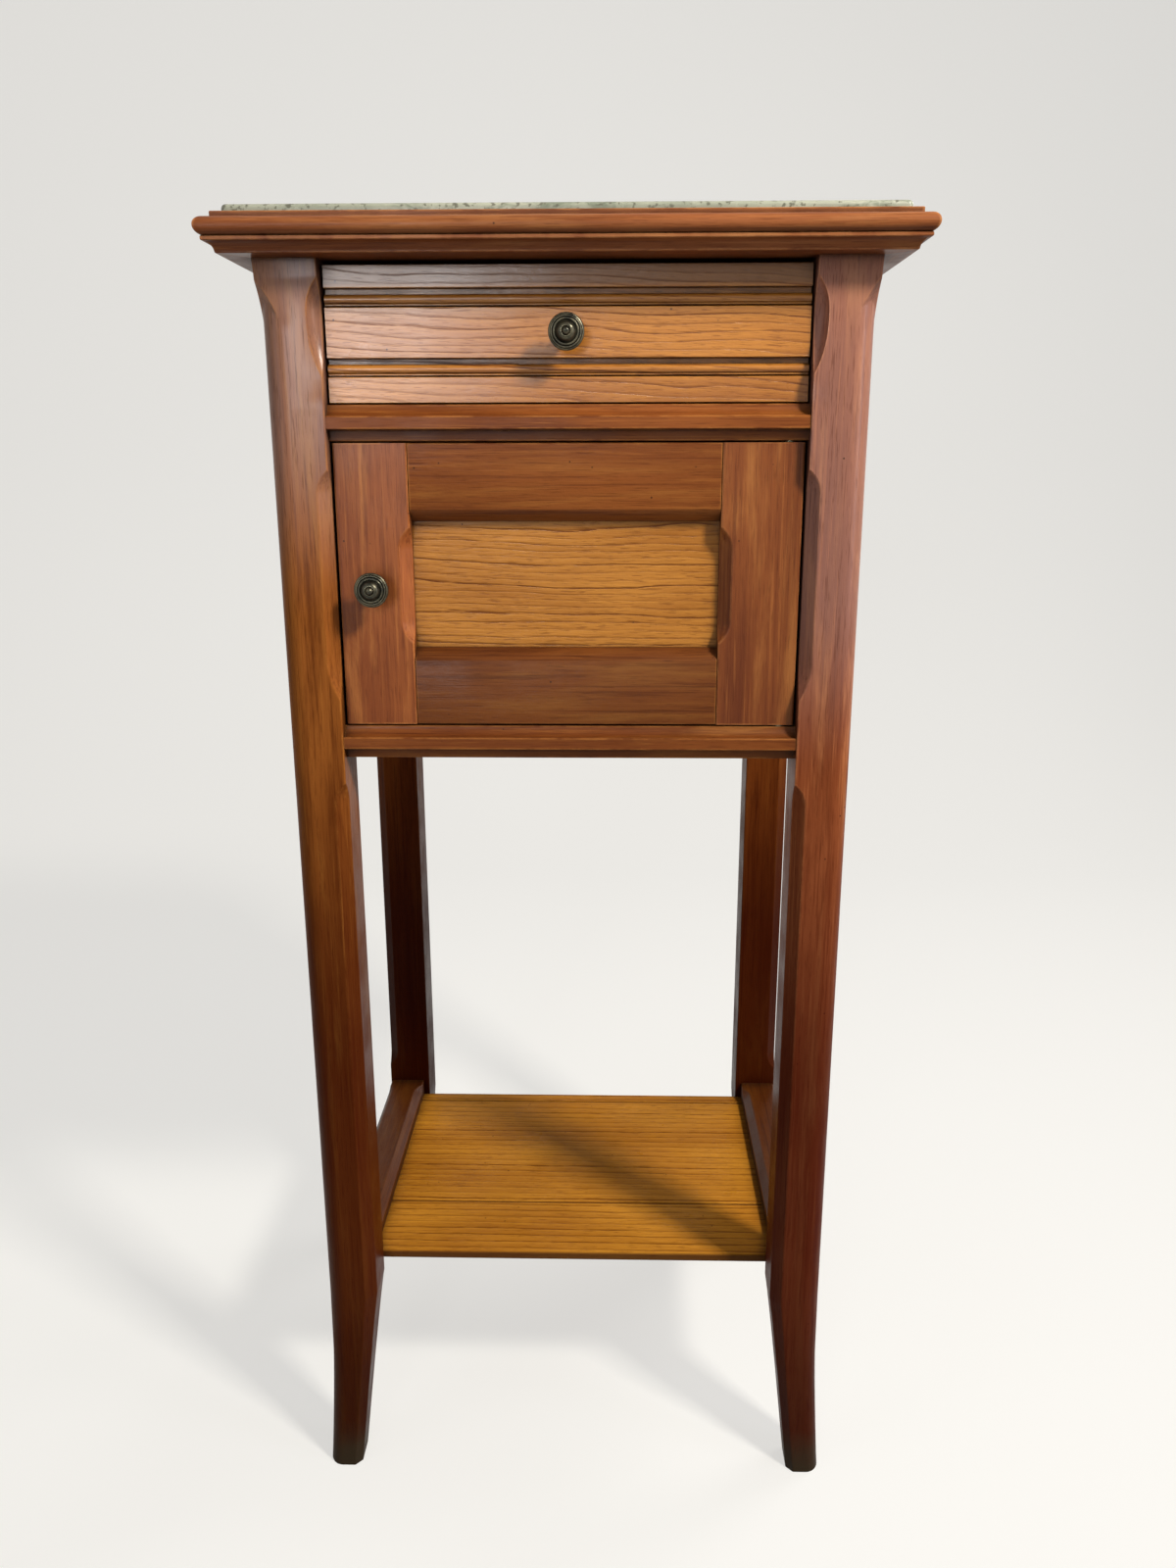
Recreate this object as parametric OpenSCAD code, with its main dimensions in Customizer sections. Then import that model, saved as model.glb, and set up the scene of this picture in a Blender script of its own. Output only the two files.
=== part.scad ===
// Bedside pot cupboard: a marble top in a mitred moulded frame, one moulded drawer, a panelled
// door on brass pivots, and a boarded shelf low between four legs.
// +Z is up and the drawer faces -Y. The origin is on the floor, under the middle of the top.

/* [Overall] */
// Height from the floor to the top of the marble
total_h = 850; // [800:1:920]
// Width over the nosing of the moulded top
top_w = 400; // [380:1:440]
// Depth from the front nosing to the back edge
top_d = 320; // [300:1:350]
// How far the nosing stands out past the legs
overhang = 25; // [23:0.5:30]

/* [Moulded top] */
// Height of the moulded frame under the marble
frame_h = 21; // [20:0.5:26]
// Width of the flat underside inside the legs' outer faces
frame_seat_w = 40; // [34:1:50]
// Thickness of the marble
marble_t = 14; // [12:0.5:15]
// How far the marble stands above the frame
marble_proud = 4.5; // [3:0.5:6]
// Radius on the marble's top edge
marble_edge_r = 2.5; // [1:0.5:3]
// Radius of the marble's front corners in plan
marble_corner_r = 3; // [1:0.5:6]
// Radius of the nosing
nosing_r = 4.9; // [4:0.1:5.2]
// Radius of the cove under the nosing
cove_r = 5.7; // [4:0.1:5.9]
// Height of the small step between the cove and the nosing
fillet_h = 2.3; // [1:0.1:2.5]
// Width of the lip round the marble
lip_w = 4.5; // [3.5:0.5:6]

/* [Legs] */
// Side of the square leg
leg = 35; // [32:0.5:40]
// How far the top of a leg stands out past the shaft
top_flare = 1.2; // [0:0.1:4]
// Height over which the top of the leg flares
top_flare_h = 40; // [20:1:60]
// How far the foot kicks out
foot_flare = 4.5; // [0:0.5:8]
// Height at which the foot starts to kick out
foot_flare_h = 95; // [60:5:130]
// How much the inner faces taper to the floor
foot_taper = 16; // [8:1:18]
// Radius of the rounded front corner
corner_r = 14; // [8:0.5:15]
// Length of the shield-shaped stop over the rounded corner
corner_stop = 34; // [20:1:44]
// Width that the stopped chamfers take off each face
chamfer_w = 7.3; // [4:0.1:8]
// Length of a short chamfer stop
stop_short = 14; // [8:1:18]
// Length of a long chamfer stop
stop_long = 26; // [16:1:30]

/* [Front rails] */
// Height of each front rail
rail_h = 20.5; // [18:0.5:24]
// How far the rails sit behind the legs' front
rail_setback = 1; // [0.5:0.5:3]
// Radius of the cove along the rail's upper edge
rail_cove_r = 6.5; // [3:0.5:7]
// Height of the recessed strip along the bottom
rail_strip_h = 6.5; // [4:0.5:8]
// Depth of the recessed strip
rail_strip_d = 6; // [3:0.5:7]
// Length of the tenons
tenon_l = 12; // [8:1:14]
// Thickness of the tenons
tenon_t = 8; // [6:0.5:10]

/* [Drawer] */
// Height of the drawer front
drawer_h = 74.7; // [68:0.1:90]
// Gap above the drawer front
drawer_top_gap = 2.5; // [1:0.5:4]
// Gap under and beside the drawer front
drawer_gap = 0.8; // [0.5:0.1:1.5]
// How far the drawer front sits behind the legs' front
drawer_setback = 8; // [6:0.5:12]
// Thickness of the drawer front
drawer_front_t = 20; // [18:1:24]
// Thickness of the drawer sides and back
drawer_side_t = 9; // [7:0.5:11]
// Height of the drawer sides
drawer_side_h = 64.5; // [50:0.5:64.5]
// Length of the drawer behind its front face
drawer_l = 240; // [200:1:244]
// Thickness of the drawer bottom
drawer_bottom_t = 4; // [3:0.5:6]
// Height of the drawer bottom over the lower edge of the front
drawer_bottom_up = 5; // [4.5:0.5:7]
// How far the drawer's sides sit inside the legs' inner faces
drawer_box_in = 3; // [2:0.5:5]
// Depth of the grooves that hold the drawer's bottom and back
drawer_groove = 4; // [3:0.5:5]
// Height of one moulding on the drawer front
bead_band_h = 10.3; // [9:0.1:12]
// Depth of the moulding
bead_band_d = 4; // [3:0.1:5]
// Radius of the bead
bead_r = 2.8; // [2:0.1:3]
// Height of the flat under the lower moulding
drawer_low_flat = 14.3; // [12:0.1:18]
// Height of the flat above the upper moulding
drawer_high_flat = 12.3; // [10:0.1:16]

/* [Door] */
// Height of the door
door_h = 168; // [150:1:190]
// Gap above and below the door
door_gap = 1; // [0.8:0.1:1.5]
// Gap beside the door
door_side_gap = 1.5; // [1.3:0.1:2]
// How far the door sits behind the legs' front
door_setback = 7; // [6:0.5:10]
// Thickness of the door frame
door_t = 20; // [18:0.5:24]
// Width of the stile that carries the knob
knob_stile_w = 44; // [40:1:56]
// Width of the stile that carries the pivots
pivot_stile_w = 48; // [44:1:60]
// Height of the door's top rail
door_top_rail_h = 45; // [38:1:52]
// Height of the door's bottom rail
door_bottom_rail_h = 47; // [38:1:54]
// Width of the bevel round the panel
bevel_w = 7; // [4:0.5:9]
// Depth from the door's face to the panel
panel_setback = 9; // [7.5:0.5:10]
// Thickness of the door panel
panel_t = 6; // [5:0.5:7]
// Depth of the grooves that hold panels
groove_d = 6; // [4:0.5:7]

/* [Case] */
// Thickness of the side rails
side_rail_t = 20; // [18:0.5:22]
// How far the side rails sit inside the legs' outer faces
side_rail_setback = 3; // [2:0.5:5]
// Height of the top side rails
side_top_rail_h = 40; // [34:1:44]
// Height of the bottom side and back rails
low_rail_h = 32; // [28:1:36]
// Thickness of the side and back panels
case_panel_t = 8; // [6:0.5:9]
// Thickness of the back rails
back_rail_t = 18; // [16:0.5:20]
// How far the back rails sit inside the rear legs' back faces
back_rail_setback = 3; // [2:0.5:5]
// Height of the top back rail
back_top_rail_h = 34; // [28:1:40]
// Thickness of the cupboard floor
floor_t = 10; // [8:0.5:12]
// Drop from the top of the bottom rail to the cupboard floor
floor_drop = 3; // [2:0.5:4]
// Thickness of the drawer runners and kickers
runner_t = 12; // [10:0.5:12.5]
// How far the runners reach inside the legs' inner faces
runner_reach = 19; // [16:1:24]
// Height of the drawer guides
guide_h = 18; // [12:1:24]
// Thickness of the dust board
dust_t = 5; // [4:0.5:6]
// Length of the tongues on the floor and the dust board
tongue_l = 5; // [3:0.5:7]
// Width of the cleats under the floor
cleat_w = 16; // [12:1:20]
// Width of one drawer stop block
stop_block_w = 30; // [20:1:40]
// Distance of the stop blocks from the middle
stop_block_in = 50; // [40:1:70]
// Height of the stop blocks
stop_block_h = 4; // [3:0.5:4.5]
// Width of the strip that the door closes against
door_stop_w = 8; // [6:0.5:12]
// Diameter of the screws that hold the top frame
frame_screw_d = 3.5; // [3:0.1:4.5]
// Length of those screws
frame_screw_l = 20; // [16:1:21]
// Distance of the end screws from the legs
frame_screw_in = 25; // [15:1:40]

/* [Shelf] */
// Height of the top of the shelf
shelf_z = 155; // [140:1:190]
// Thickness of the shelf boards
shelf_t = 6.5; // [5:0.5:9]
// Width of the front shelf board
shelf_front_w = 61; // [45:1:90]
// Width of the strip at the back of the shelf
shelf_back_w = 13; // [10:1:30]
// Height of the stretchers
stretcher_h = 28; // [26:1:34]
// How far the stretchers stand above the shelf
stretcher_rise = 13; // [11:0.5:15]
// Thickness of the stretchers
stretcher_t = 29; // [26:0.5:31]
// Chamfer on the stretcher's inner edge
stretcher_chamfer = 6; // [3:0.5:7]
// How far the stretchers sit inside the legs' outer faces
stretcher_setback = 1; // [0.5:0.5:2]
// Distance of the stretcher's chamfers from the legs
stretcher_stop_in = 8; // [5:0.5:14]

/* [Knobs] */
// Diameter of the knobs
knob_d = 20.5; // [18:0.5:24]
// How far the knobs stand out
knob_l = 22; // [20:0.5:24]
// Diameter of the knob's threaded stud
stud_d = 4; // [3.5:0.1:5]
// Side of the square nut
nut_w = 9; // [8:0.5:11]
// Thickness of the nut
nut_t = 4; // [3:0.5:4.5]

/* [Door pivots and catch] */
// Distance of the pivot from the door's edge
pivot_in = 9; // [8.5:0.5:10]
// Distance of the pivot behind the door's face
pivot_back = 4.5; // [4:0.1:4.8]
// Diameter of the pivot pins
pivot_d = 4.5; // [3.5:0.1:5]
// Height of the pivot pins
pivot_pin_h = 6.5; // [5:0.5:9]
// Length of the pivot plates
plate_l = 37; // [32:1:42]
// Width of the pivot plates
plate_w = 12; // [11:0.5:14]
// Thickness of the brass plates
plate_t = 1; // [0.8:0.1:1.6]
// Diameter of the screws in the pivot plates
pivot_screw_d = 2.4; // [2:0.1:2.8]
// Length of those screws
pivot_screw_l = 12; // [10:0.5:14]
// Drop from the knob to the ball catch
catch_drop = 12; // [8:1:24]
// Diameter of the catch's case
catch_d = 8; // [7.5:0.5:9]
// Length of the catch's case
catch_l = 13; // [12:0.5:15]
// Diameter of the catch's ball
ball_d = 5.4; // [5.2:0.1:5.4]

/* [Clearances] */
// Gap round tenons, panels and boards in their slots
joint_gap = 0.15; // [0.1:0.05:0.3]
// Gap between the drawer and what guides it
slide_gap = 0.4; // [0.3:0.1:0.8]
// Radial gap of the pivot pins in their sockets
pivot_gap = 0.05; // [0.03:0.01:0.1]

/* [Hidden] */

fine = 96;                  // facets of a small round
coarse = 180;               // facets of a large round
bite = 1;                   // how far a cutter reaches past the face it cuts
wall_gap = 0.2;             // gap between loose boards and the walls round them
stop_gap = 0.3;             // gap between a closed front and its stop
snug_gap = 0.05;            // gap of close-fitted things
hole_gap = 0.15;            // radial gap of the knobs' studs in the wood

// Where the legs stand
x_out = top_w / 2 - overhang;
x_in = x_out - leg;
y_front = -top_d / 2 + overhang;
y_back = top_d / 2;
y_in_front = y_front + leg;
y_in_back = y_back - leg;
bay_d = y_in_back - y_in_front;

// Heights, from the top down
z_frame = total_h - marble_proud - frame_h;
z_marble = total_h - marble_t;
z_drawer = z_frame - drawer_top_gap - drawer_h;
z_drawer_rail = z_drawer - drawer_gap - rail_h;
z_door = z_drawer_rail - door_gap - door_h;
z_case = z_door - door_gap - rail_h;
z_rail_top = z_drawer - drawer_gap;
z_floor = z_case + rail_h - floor_drop;
z_stretcher = shelf_z + stretcher_rise - stretcher_h;

// Faces of the moving fronts and of the case
y_rail = y_front + rail_setback;
y_rail_back = y_in_front;
rail_d = leg - rail_setback;
y_drawer = y_front + drawer_setback;
y_door = y_front + door_setback;
x_side = x_out - side_rail_setback - side_rail_t;
x_panel = x_side + (side_rail_t - case_panel_t) / 2;
y_back_rail = y_back - back_rail_setback - back_rail_t;
y_back_panel = y_back_rail + (back_rail_t - case_panel_t) / 2;
drawer_half = x_in - door_side_gap;
box_half = x_in - drawer_box_in;
drawer_bottom_z = z_drawer + drawer_bottom_up;
side_z = z_rail_top + slide_gap;

// Door
door_half = x_in - door_side_gap;
panel_z0 = z_door + door_bottom_rail_h;
panel_z1 = z_door + door_h - door_top_rail_h;
knob_stile_in = -door_half + knob_stile_w;
pivot_stile_in = door_half - pivot_stile_w;
y_panel = y_door + panel_setback;
knob_z = z_door + door_h / 2;
pivot_x = door_half - pivot_in;
pivot_y = y_door + pivot_back;
catch_z = knob_z - catch_drop;
catch_y = y_door + door_t / 2;

// Chamfer ends on the legs, each a distance from the piece beside it
stop_off = 15;
side_stop_off = 8;
scoop_top = z_drawer + drawer_h - side_stop_off;
scoop_bottom = z_rail_top + stop_off;
door_cut_top = z_door + door_h - stop_off;
door_cut_bottom = z_door + stop_off;
low_cut_top = z_case - stop_off;
side_cut_top = z_frame - side_top_rail_h - side_stop_off;
side_cut_bottom = z_case + low_rail_h + side_stop_off;
stretcher_cut_bottom = shelf_z + stretcher_rise + stop_off;
round_top = z_frame - 12.5;

// ---------------------------------------------------------------- shared shapes

// Extrudes a profile drawn in X and Z along +Y
module along_y(length) {
    translate([0, length, 0]) rotate([90, 0, 0]) linear_extrude(length) children();
}

// Extrudes a profile drawn in Y and Z along +X
module along_x(length) {
    rotate([90, 0, 90]) linear_extrude(length) children();
}

// Draws its children on the left, or mirrored on the right
module side_of(right) {
    mirror([right ? 1 : 0, 0, 0]) children();
}

// A box given by two corners
module block(low, high) {
    translate(low) cube(high - low);
}

// The same box grown by a gap on every side
module slot(low, high, gap) {
    translate(low - [gap, gap, gap]) cube(high - low + 2 * [gap, gap, gap]);
}

arc_steps = 10;             // facets along the end of a stopped cut

// Points of the arc in which a stopped cut runs out, from outside the wood to full depth
function run_out(run, depth, outside) =
    run == 0
        ? [[-outside, 0], [depth, 0]]
        : let (
            r = (run * run + depth * depth) / (2 * depth),
            far = sqrt(r * r - pow(r - depth - outside, 2))
        )
        [for (i = [0:arc_steps])
            let (back = far * (1 - i / arc_steps))
            [depth - r + sqrt(r * r - back * back), run - back]];

// Side view of a stopped cut: depth runs along X and the wood's edge along Y
module stopped_profile(length, depth, stop_low, stop_high, outside = bite) {
    low = run_out(stop_low, depth, outside);
    high = [for (p = run_out(stop_high, depth, outside)) [p[0], length - p[1]]];
    polygon(concat(low, [for (i = [len(high) - 1:-1:0]) high[i]]));
}

// A stopped chamfer along +Z. The wood fills the +X +Y quarter beside the edge.
module stopped_chamfer(length, width, stop_low, stop_high) {
    rotate([0, 0, 45]) translate([0, 2 * width, 0]) rotate([90, 0, 0])
        linear_extrude(4 * width)
            stopped_profile(length, width / sqrt(2), stop_low, stop_high);
}

scoop_off = 4;              // distance of the scoops' axis outside the wood's edge
scoop_tip = 0.5;            // radius at which a scoop's cutter ends, clear of the wood

// A hollow lens-shaped scoop along +Z, the same way round
module scoop(length, width) {
    depth = sqrt(width * width + sqrt(2) * scoop_off * width + scoop_off * scoop_off) - scoop_off;
    low = run_out(length * 0.56, depth, scoop_off - scoop_tip);
    high = [for (p = run_out(length * 0.36, depth, scoop_off - scoop_tip)) [p[0], length - p[1]]];
    sides = concat(low, [for (i = [len(high) - 1:-1:0]) high[i]]);
    rotate([0, 0, 45]) translate([-scoop_off, 0, 0]) rotate_extrude($fn = fine)
        polygon(concat(
            [[0, low[0][1]]],
            [for (p = sides) [p[0] + scoop_off, p[1]]],
            [[0, high[0][1]]]
        ));
}

// Countersunk screw along -Z with its head flush at z = 0
module screw(d, length) {
    head_h = d * 0.55;
    difference() {
        union() {
            translate([0, 0, -length]) cylinder(d = d, h = length, $fn = fine);
            translate([0, 0, -head_h]) cylinder(d1 = d, d2 = 2 * d, h = head_h, $fn = fine);
        }
        translate([-2 * d, -d * 0.1, -head_h * 0.4]) cube([4 * d, d * 0.2, head_h]);
    }
}

// The hole that such a screw needs, cut from z = 0 down
module screw_hole(d, length) {
    head_h = d * 0.55;
    ease = 0.05;
    translate([0, 0, -length - ease]) cylinder(d = d + 2 * ease, h = length + bite, $fn = fine);
    translate([0, 0, -head_h - ease])
        cylinder(d1 = d + 2 * ease, d2 = 2 * d + 4 * ease, h = head_h + ease, $fn = fine);
    translate([0, 0, -0.01]) cylinder(d = 2 * d + 4 * ease, h = bite, $fn = fine);
}

// ---------------------------------------------------------------- legs

flare_steps = 8;
foot_steps = 8;
round_steps = 6;
leg_top = z_frame;

function top_out(z) = top_flare * pow(max(0, (z - leg_top + top_flare_h) / top_flare_h), 2);
function foot_out(z) = foot_flare * pow(max(0, 1 - z / foot_flare_h), 1.3);
function foot_in(z) = foot_taper * pow(max(0, 1 - z / z_stretcher), 0.9);

// One face-on outline of the shaft; the outer side is at x = 0
module shaft_outline(flared) {
    polygon(concat(
        [[0, z_stretcher], [leg, z_stretcher], [leg, leg_top]],
        [for (i = [0:flare_steps])
            let (z = leg_top - i * top_flare_h / flare_steps)
                [flared ? -top_out(z) : 0, z]]
    ));
}

foot_ease = 0.1;            // keeps the foot's facets just inside the shaft's round and chamfer
foot_lap = 3;               // how far the foot's core reaches up into the shaft

// Section of the foot at a height, anticlockwise from above; an inset makes it smaller all round
function foot_section(z, front, inset = 0) =
    let (
        a0 = inset - foot_out(z),
        b0 = inset - (front ? foot_out(z) : 0),
        a1 = leg - foot_in(z) - inset,
        b1 = leg - foot_in(z) - inset,
        share = (a1 - a0) / leg,
        r = corner_r * share + 3 * foot_ease,
        c = chamfer_w * share + foot_ease
    )
    front
        ? concat(
            [for (i = [0:round_steps])
                let (t = 180 + 90 * i / round_steps) [a0 + r + r * cos(t), b0 + r + r * sin(t)]],
            [[a1 - c, b0], [a1, b0 + c], [a1, b1], [a0, b1]])
        : [[a0, b0], [a1, b0], [a1, b1], [a0, b1]];

// The tapered foot, lofted through sections from the floor into the shaft
module foot(front) {
    levels = [for (i = [0:foot_steps]) z_stretcher * i / foot_steps];
    rings = concat(
        [for (z = levels) [for (p = foot_section(z, front)) [p[0], p[1], z]]],
        [[for (p = foot_section(z_stretcher, front, 1)) [p[0], p[1], z_stretcher + foot_lap]]]
    );
    n = len(rings[0]);
    sides = [for (i = [0:len(rings) - 2], j = [0:n - 1])
        let (k = (j + 1) % n, low = i * n, high = low + n)
            each [[low + j, high + j, high + k], [low + j, high + k, low + k]]];
    ends = [[for (j = [0:n - 1]) j], [for (j = [0:n - 1]) len(rings) * n - 1 - j]];
    polyhedron(points = [for (ring = rings) each ring], faces = concat(sides, ends));
}

// Cuts the rounded outer corner, which runs out under the square top
module corner_round() {
    length = round_top - z_stretcher;
    reach = corner_r + top_flare + bite;
    translate([0, 0, z_stretcher]) intersection() {
        difference() {
            translate([corner_r - reach, corner_r - reach, 0]) cube([reach, reach, length + reach]);
            translate([corner_r, corner_r, -bite])
                cylinder(r = corner_r, h = length + reach + 2 * bite, $fn = fine);
        }
        rotate([0, 0, 45]) translate([0, reach, 0]) rotate([90, 0, 0]) linear_extrude(2 * reach)
            stopped_profile(length, corner_r / sqrt(2), 0, corner_stop, top_flare * 2 + bite);
    }
}

// A leg in its own corner frame: the outer front corner is at the origin
module leg_blank(front) {
    margin = top_flare + bite;
    difference() {
        union() {
            intersection() {
                translate([0, -margin, 0]) along_y(leg + 2 * margin) shaft_outline(true);
                translate([-margin, 0, 0]) along_x(leg + 2 * margin) shaft_outline(front);
            }
            foot(front);
        }
        if (front) {
            corner_round();
            translate([leg, 0, scoop_bottom]) rotate([0, 0, 90])
                scoop(scoop_top - scoop_bottom, chamfer_w);
            translate([leg, 0, door_cut_bottom]) rotate([0, 0, 90])
                stopped_chamfer(door_cut_top - door_cut_bottom, chamfer_w, stop_long, stop_short);
            translate([leg, 0, z_stretcher]) rotate([0, 0, 90])
                stopped_chamfer(low_cut_top - z_stretcher, chamfer_w, 0, stop_short);
        }
        translate([0, leg, side_cut_bottom]) rotate([0, 0, -90])
            stopped_chamfer(side_cut_top - side_cut_bottom, chamfer_w, stop_long, stop_short);
        translate([0, leg, stretcher_cut_bottom]) rotate([0, 0, -90])
            stopped_chamfer(low_cut_top - stretcher_cut_bottom, chamfer_w, stop_short, stop_short);
    }
}

// Left front leg with the mortises of everything that is joined to it
module leg_front(with_strike) {
    difference() {
        translate([-x_out, y_front, 0]) leg_blank(true);
        front_rail_tenon(z_drawer_rail, joint_gap);
        front_rail_tenon(z_case, joint_gap);
        side_rail_tenons(z_frame - side_top_rail_h, side_top_rail_h, joint_gap);
        side_rail_tenons(z_case, low_rail_h, joint_gap);
        stretcher_tenons(joint_gap);
        side_panel_block(joint_gap);
        if (with_strike) strike_recess();
    }
}

// Left rear leg
module leg_rear() {
    difference() {
        translate([-x_out, y_back, 0]) mirror([0, 1, 0]) leg_blank(false);
        side_rail_tenons(z_frame - side_top_rail_h, side_top_rail_h, joint_gap);
        side_rail_tenons(z_case, low_rail_h, joint_gap);
        stretcher_tenons(joint_gap);
        side_panel_block(joint_gap);
        back_rail_tenon(z_frame - back_top_rail_h, back_top_rail_h, joint_gap);
        back_rail_tenon(z_case, low_rail_h, joint_gap);
        back_panel_block(joint_gap);
    }
}

module leg_front_left() color("sienna") leg_front(true);
module leg_front_right() color("sienna") side_of(true) leg_front(false);
module leg_rear_left() color("sienna") leg_rear();
module leg_rear_right() color("sienna") side_of(true) leg_rear();

// ---------------------------------------------------------------- front rails

tenon_shoulder = 3;

// Left tenon of a front rail; a gap makes it the mortise
module front_rail_tenon(z, gap = 0) {
    low_y = y_rail + (rail_d - tenon_t) / 2;
    slot([-x_in - tenon_l, low_y, z + tenon_shoulder],
        [-x_in + bite, low_y + tenon_t, z + rail_h - tenon_shoulder], gap);
}

// Section of a front rail, with Y to the right and Z up from the rail's underside
module rail_section() {
    difference() {
        square([rail_d, rail_h]);
        translate([0, rail_h]) circle(r = rail_cove_r, $fn = fine);
        translate([-bite, -bite]) square([rail_strip_d + bite, rail_strip_h + bite]);
    }
}

module front_rail(z) {
    translate([-x_in, y_rail, z]) along_x(2 * x_in) rail_section();
    for (right = [false, true]) side_of(right) front_rail_tenon(z);
}

module drawer_rail() color("sienna") difference() {
    front_rail(z_drawer_rail);
    dust_block(joint_gap);
    pivot_recess(true);
    pivot_screw_places(true, true) screw_hole(pivot_screw_d, pivot_screw_l);
}

module bottom_rail() color("sienna") difference() {
    front_rail(z_case);
    floor_tongue(joint_gap);
    pivot_recess(false);
    pivot_screw_places(false, true) screw_hole(pivot_screw_d, pivot_screw_l);
}

// ---------------------------------------------------------------- side and back of the case

// Both tenons of a left side rail
module side_rail_tenons(z, height, gap = 0) {
    low_x = -x_out + side_rail_setback + (side_rail_t - tenon_t) / 2;
    for (y = [y_in_front, y_in_back])
        slot([low_x, y - tenon_l, z + tenon_shoulder],
            [low_x + tenon_t, y + tenon_l, z + height - tenon_shoulder], gap);
}

module side_rail(z, height) {
    low_x = -x_out + side_rail_setback;
    block([low_x, y_in_front, z], [low_x + side_rail_t, y_in_back, z + height]);
    intersection() {
        side_rail_tenons(z, height);
        block([-x_out, y_in_front - tenon_l, z], [0, y_in_back + tenon_l, z + height]);
    }
}

// Left side panel with its tongues; a gap makes it the groove
module side_panel_block(gap = 0) {
    z0 = z_case + low_rail_h;
    z1 = z_frame - side_top_rail_h;
    slot([-x_panel - case_panel_t, y_in_front - groove_d, z0 - groove_d],
        [-x_panel, y_in_back + groove_d, z1 + groove_d], gap);
}

module side_rail_top() difference() {
    side_rail(z_frame - side_top_rail_h, side_top_rail_h);
    side_panel_block(joint_gap);
}

module side_rail_bottom() difference() {
    side_rail(z_case, low_rail_h);
    side_panel_block(joint_gap);
}

module side_rail_top_left() color("sienna") side_rail_top();
module side_rail_top_right() color("sienna") side_of(true) side_rail_top();
module side_rail_bottom_left() color("sienna") side_rail_bottom();
module side_rail_bottom_right() color("sienna") side_of(true) side_rail_bottom();
module side_panel_left() color("peru") side_panel_block();
module side_panel_right() color("peru") side_of(true) side_panel_block();

// Left tenon of a back rail
module back_rail_tenon(z, height, gap = 0) {
    low_y = y_back_rail + (back_rail_t - tenon_t) / 2;
    slot([-x_in - tenon_l, low_y, z + tenon_shoulder],
        [-x_in + bite, low_y + tenon_t, z + height - tenon_shoulder], gap);
}

module back_panel_block(gap = 0) {
    slot([-x_in - groove_d, y_back_panel, z_case + low_rail_h - groove_d],
        [x_in + groove_d, y_back_panel + case_panel_t, z_frame - back_top_rail_h + groove_d], gap);
}

module back_rail(z, height) difference() {
    union() {
        block([-x_in, y_back_rail, z], [x_in, y_back_rail + back_rail_t, z + height]);
        for (right = [false, true]) side_of(right) back_rail_tenon(z, height);
    }
    back_panel_block(joint_gap);
}

module back_rail_top() color("sienna") back_rail(z_frame - back_top_rail_h, back_top_rail_h);
module back_rail_bottom() color("sienna") back_rail(z_case, low_rail_h);
module back_panel() color("burlywood") back_panel_block();

// ---------------------------------------------------------------- inside the case

// Tongue of the floor in the bottom rail
module floor_tongue(gap = 0) {
    slot([-x_in + wall_gap, y_rail_back - tongue_l, z_floor - floor_t],
        [x_in - wall_gap, y_rail_back + bite, z_floor], gap);
}

module cupboard_floor() color("burlywood") {
    z0 = z_floor - floor_t;
    floor_tongue();
    block([-x_in + wall_gap, y_rail_back, z0], [x_in - wall_gap, y_back_rail - wall_gap, z_floor]);
    block([-x_side + wall_gap, y_in_front + wall_gap, z0], [x_side - wall_gap, y_in_back - wall_gap, z_floor]);
}

// Strips screwed to the side rails under the floor
module floor_cleats() color("burlywood") for (right = [false, true]) side_of(right)
    block([-x_side, y_in_front + wall_gap, z_case],
        [-x_side + cleat_w, y_in_back - wall_gap, z_floor - floor_t]);

// Dust board between the drawer and the cupboard, with its tongues
module dust_block(gap = 0) {
    z0 = z_rail_top - runner_t + (runner_t - dust_t) / 2;
    reach = x_in - runner_reach + tongue_l;
    slot([-reach, y_rail_back - tongue_l, z0], [reach, y_back_rail - wall_gap, z0 + dust_t], gap);
}

module dust_board() color("burlywood") dust_block();

module drawer_runner() difference() {
    block([-x_panel, y_in_front, z_rail_top - runner_t], [-x_in + runner_reach, y_in_back, z_rail_top]);
    dust_block(joint_gap);
}

module drawer_guide() {
    block([-x_panel, y_in_front, z_rail_top], [-box_half - slide_gap, y_in_back, z_rail_top + guide_h]);
}

// Kickers under the top frame keep the drawer level and carry the frame's screws
module kicker() difference() {
    block([-x_side, y_in_front, z_frame - runner_t], [-x_in + runner_reach, y_in_back, z_frame]);
    frame_screw_places() screw_hole(frame_screw_d, frame_screw_l);
}

module drawer_runner_left() color("burlywood") drawer_runner();
module drawer_runner_right() color("burlywood") side_of(true) drawer_runner();
module drawer_guide_left() color("burlywood") drawer_guide();
module drawer_guide_right() color("burlywood") side_of(true) drawer_guide();
module kicker_left() color("burlywood") kicker();
module kicker_right() color("burlywood") side_of(true) kicker();

// Small blocks on the drawer rail that meet the back of the drawer front
module drawer_stops() color("burlywood") {
    y0 = y_drawer + drawer_front_t + stop_gap;
    for (right = [false, true]) side_of(right)
        block([-stop_block_in - stop_block_w, y0, z_rail_top],
            [-stop_block_in, y_rail_back, z_rail_top + stop_block_h]);
}

// Strip on the left front leg that the door closes against
module door_stop() color("sienna") {
    y0 = y_door + door_t + stop_gap;
    block([-x_in, y0, z_case + rail_h], [-x_in + door_stop_w, y_in_front, z_drawer_rail]);
}

// Head places of the left kicker's screws, pointing up into the frame
module frame_screw_places() {
    for (y = [y_in_front + frame_screw_in, (y_in_front + y_in_back) / 2, y_in_back - frame_screw_in])
        translate([-x_side + 2 * frame_screw_d, y, z_frame - runner_t]) mirror([0, 0, 1]) children();
}

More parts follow.
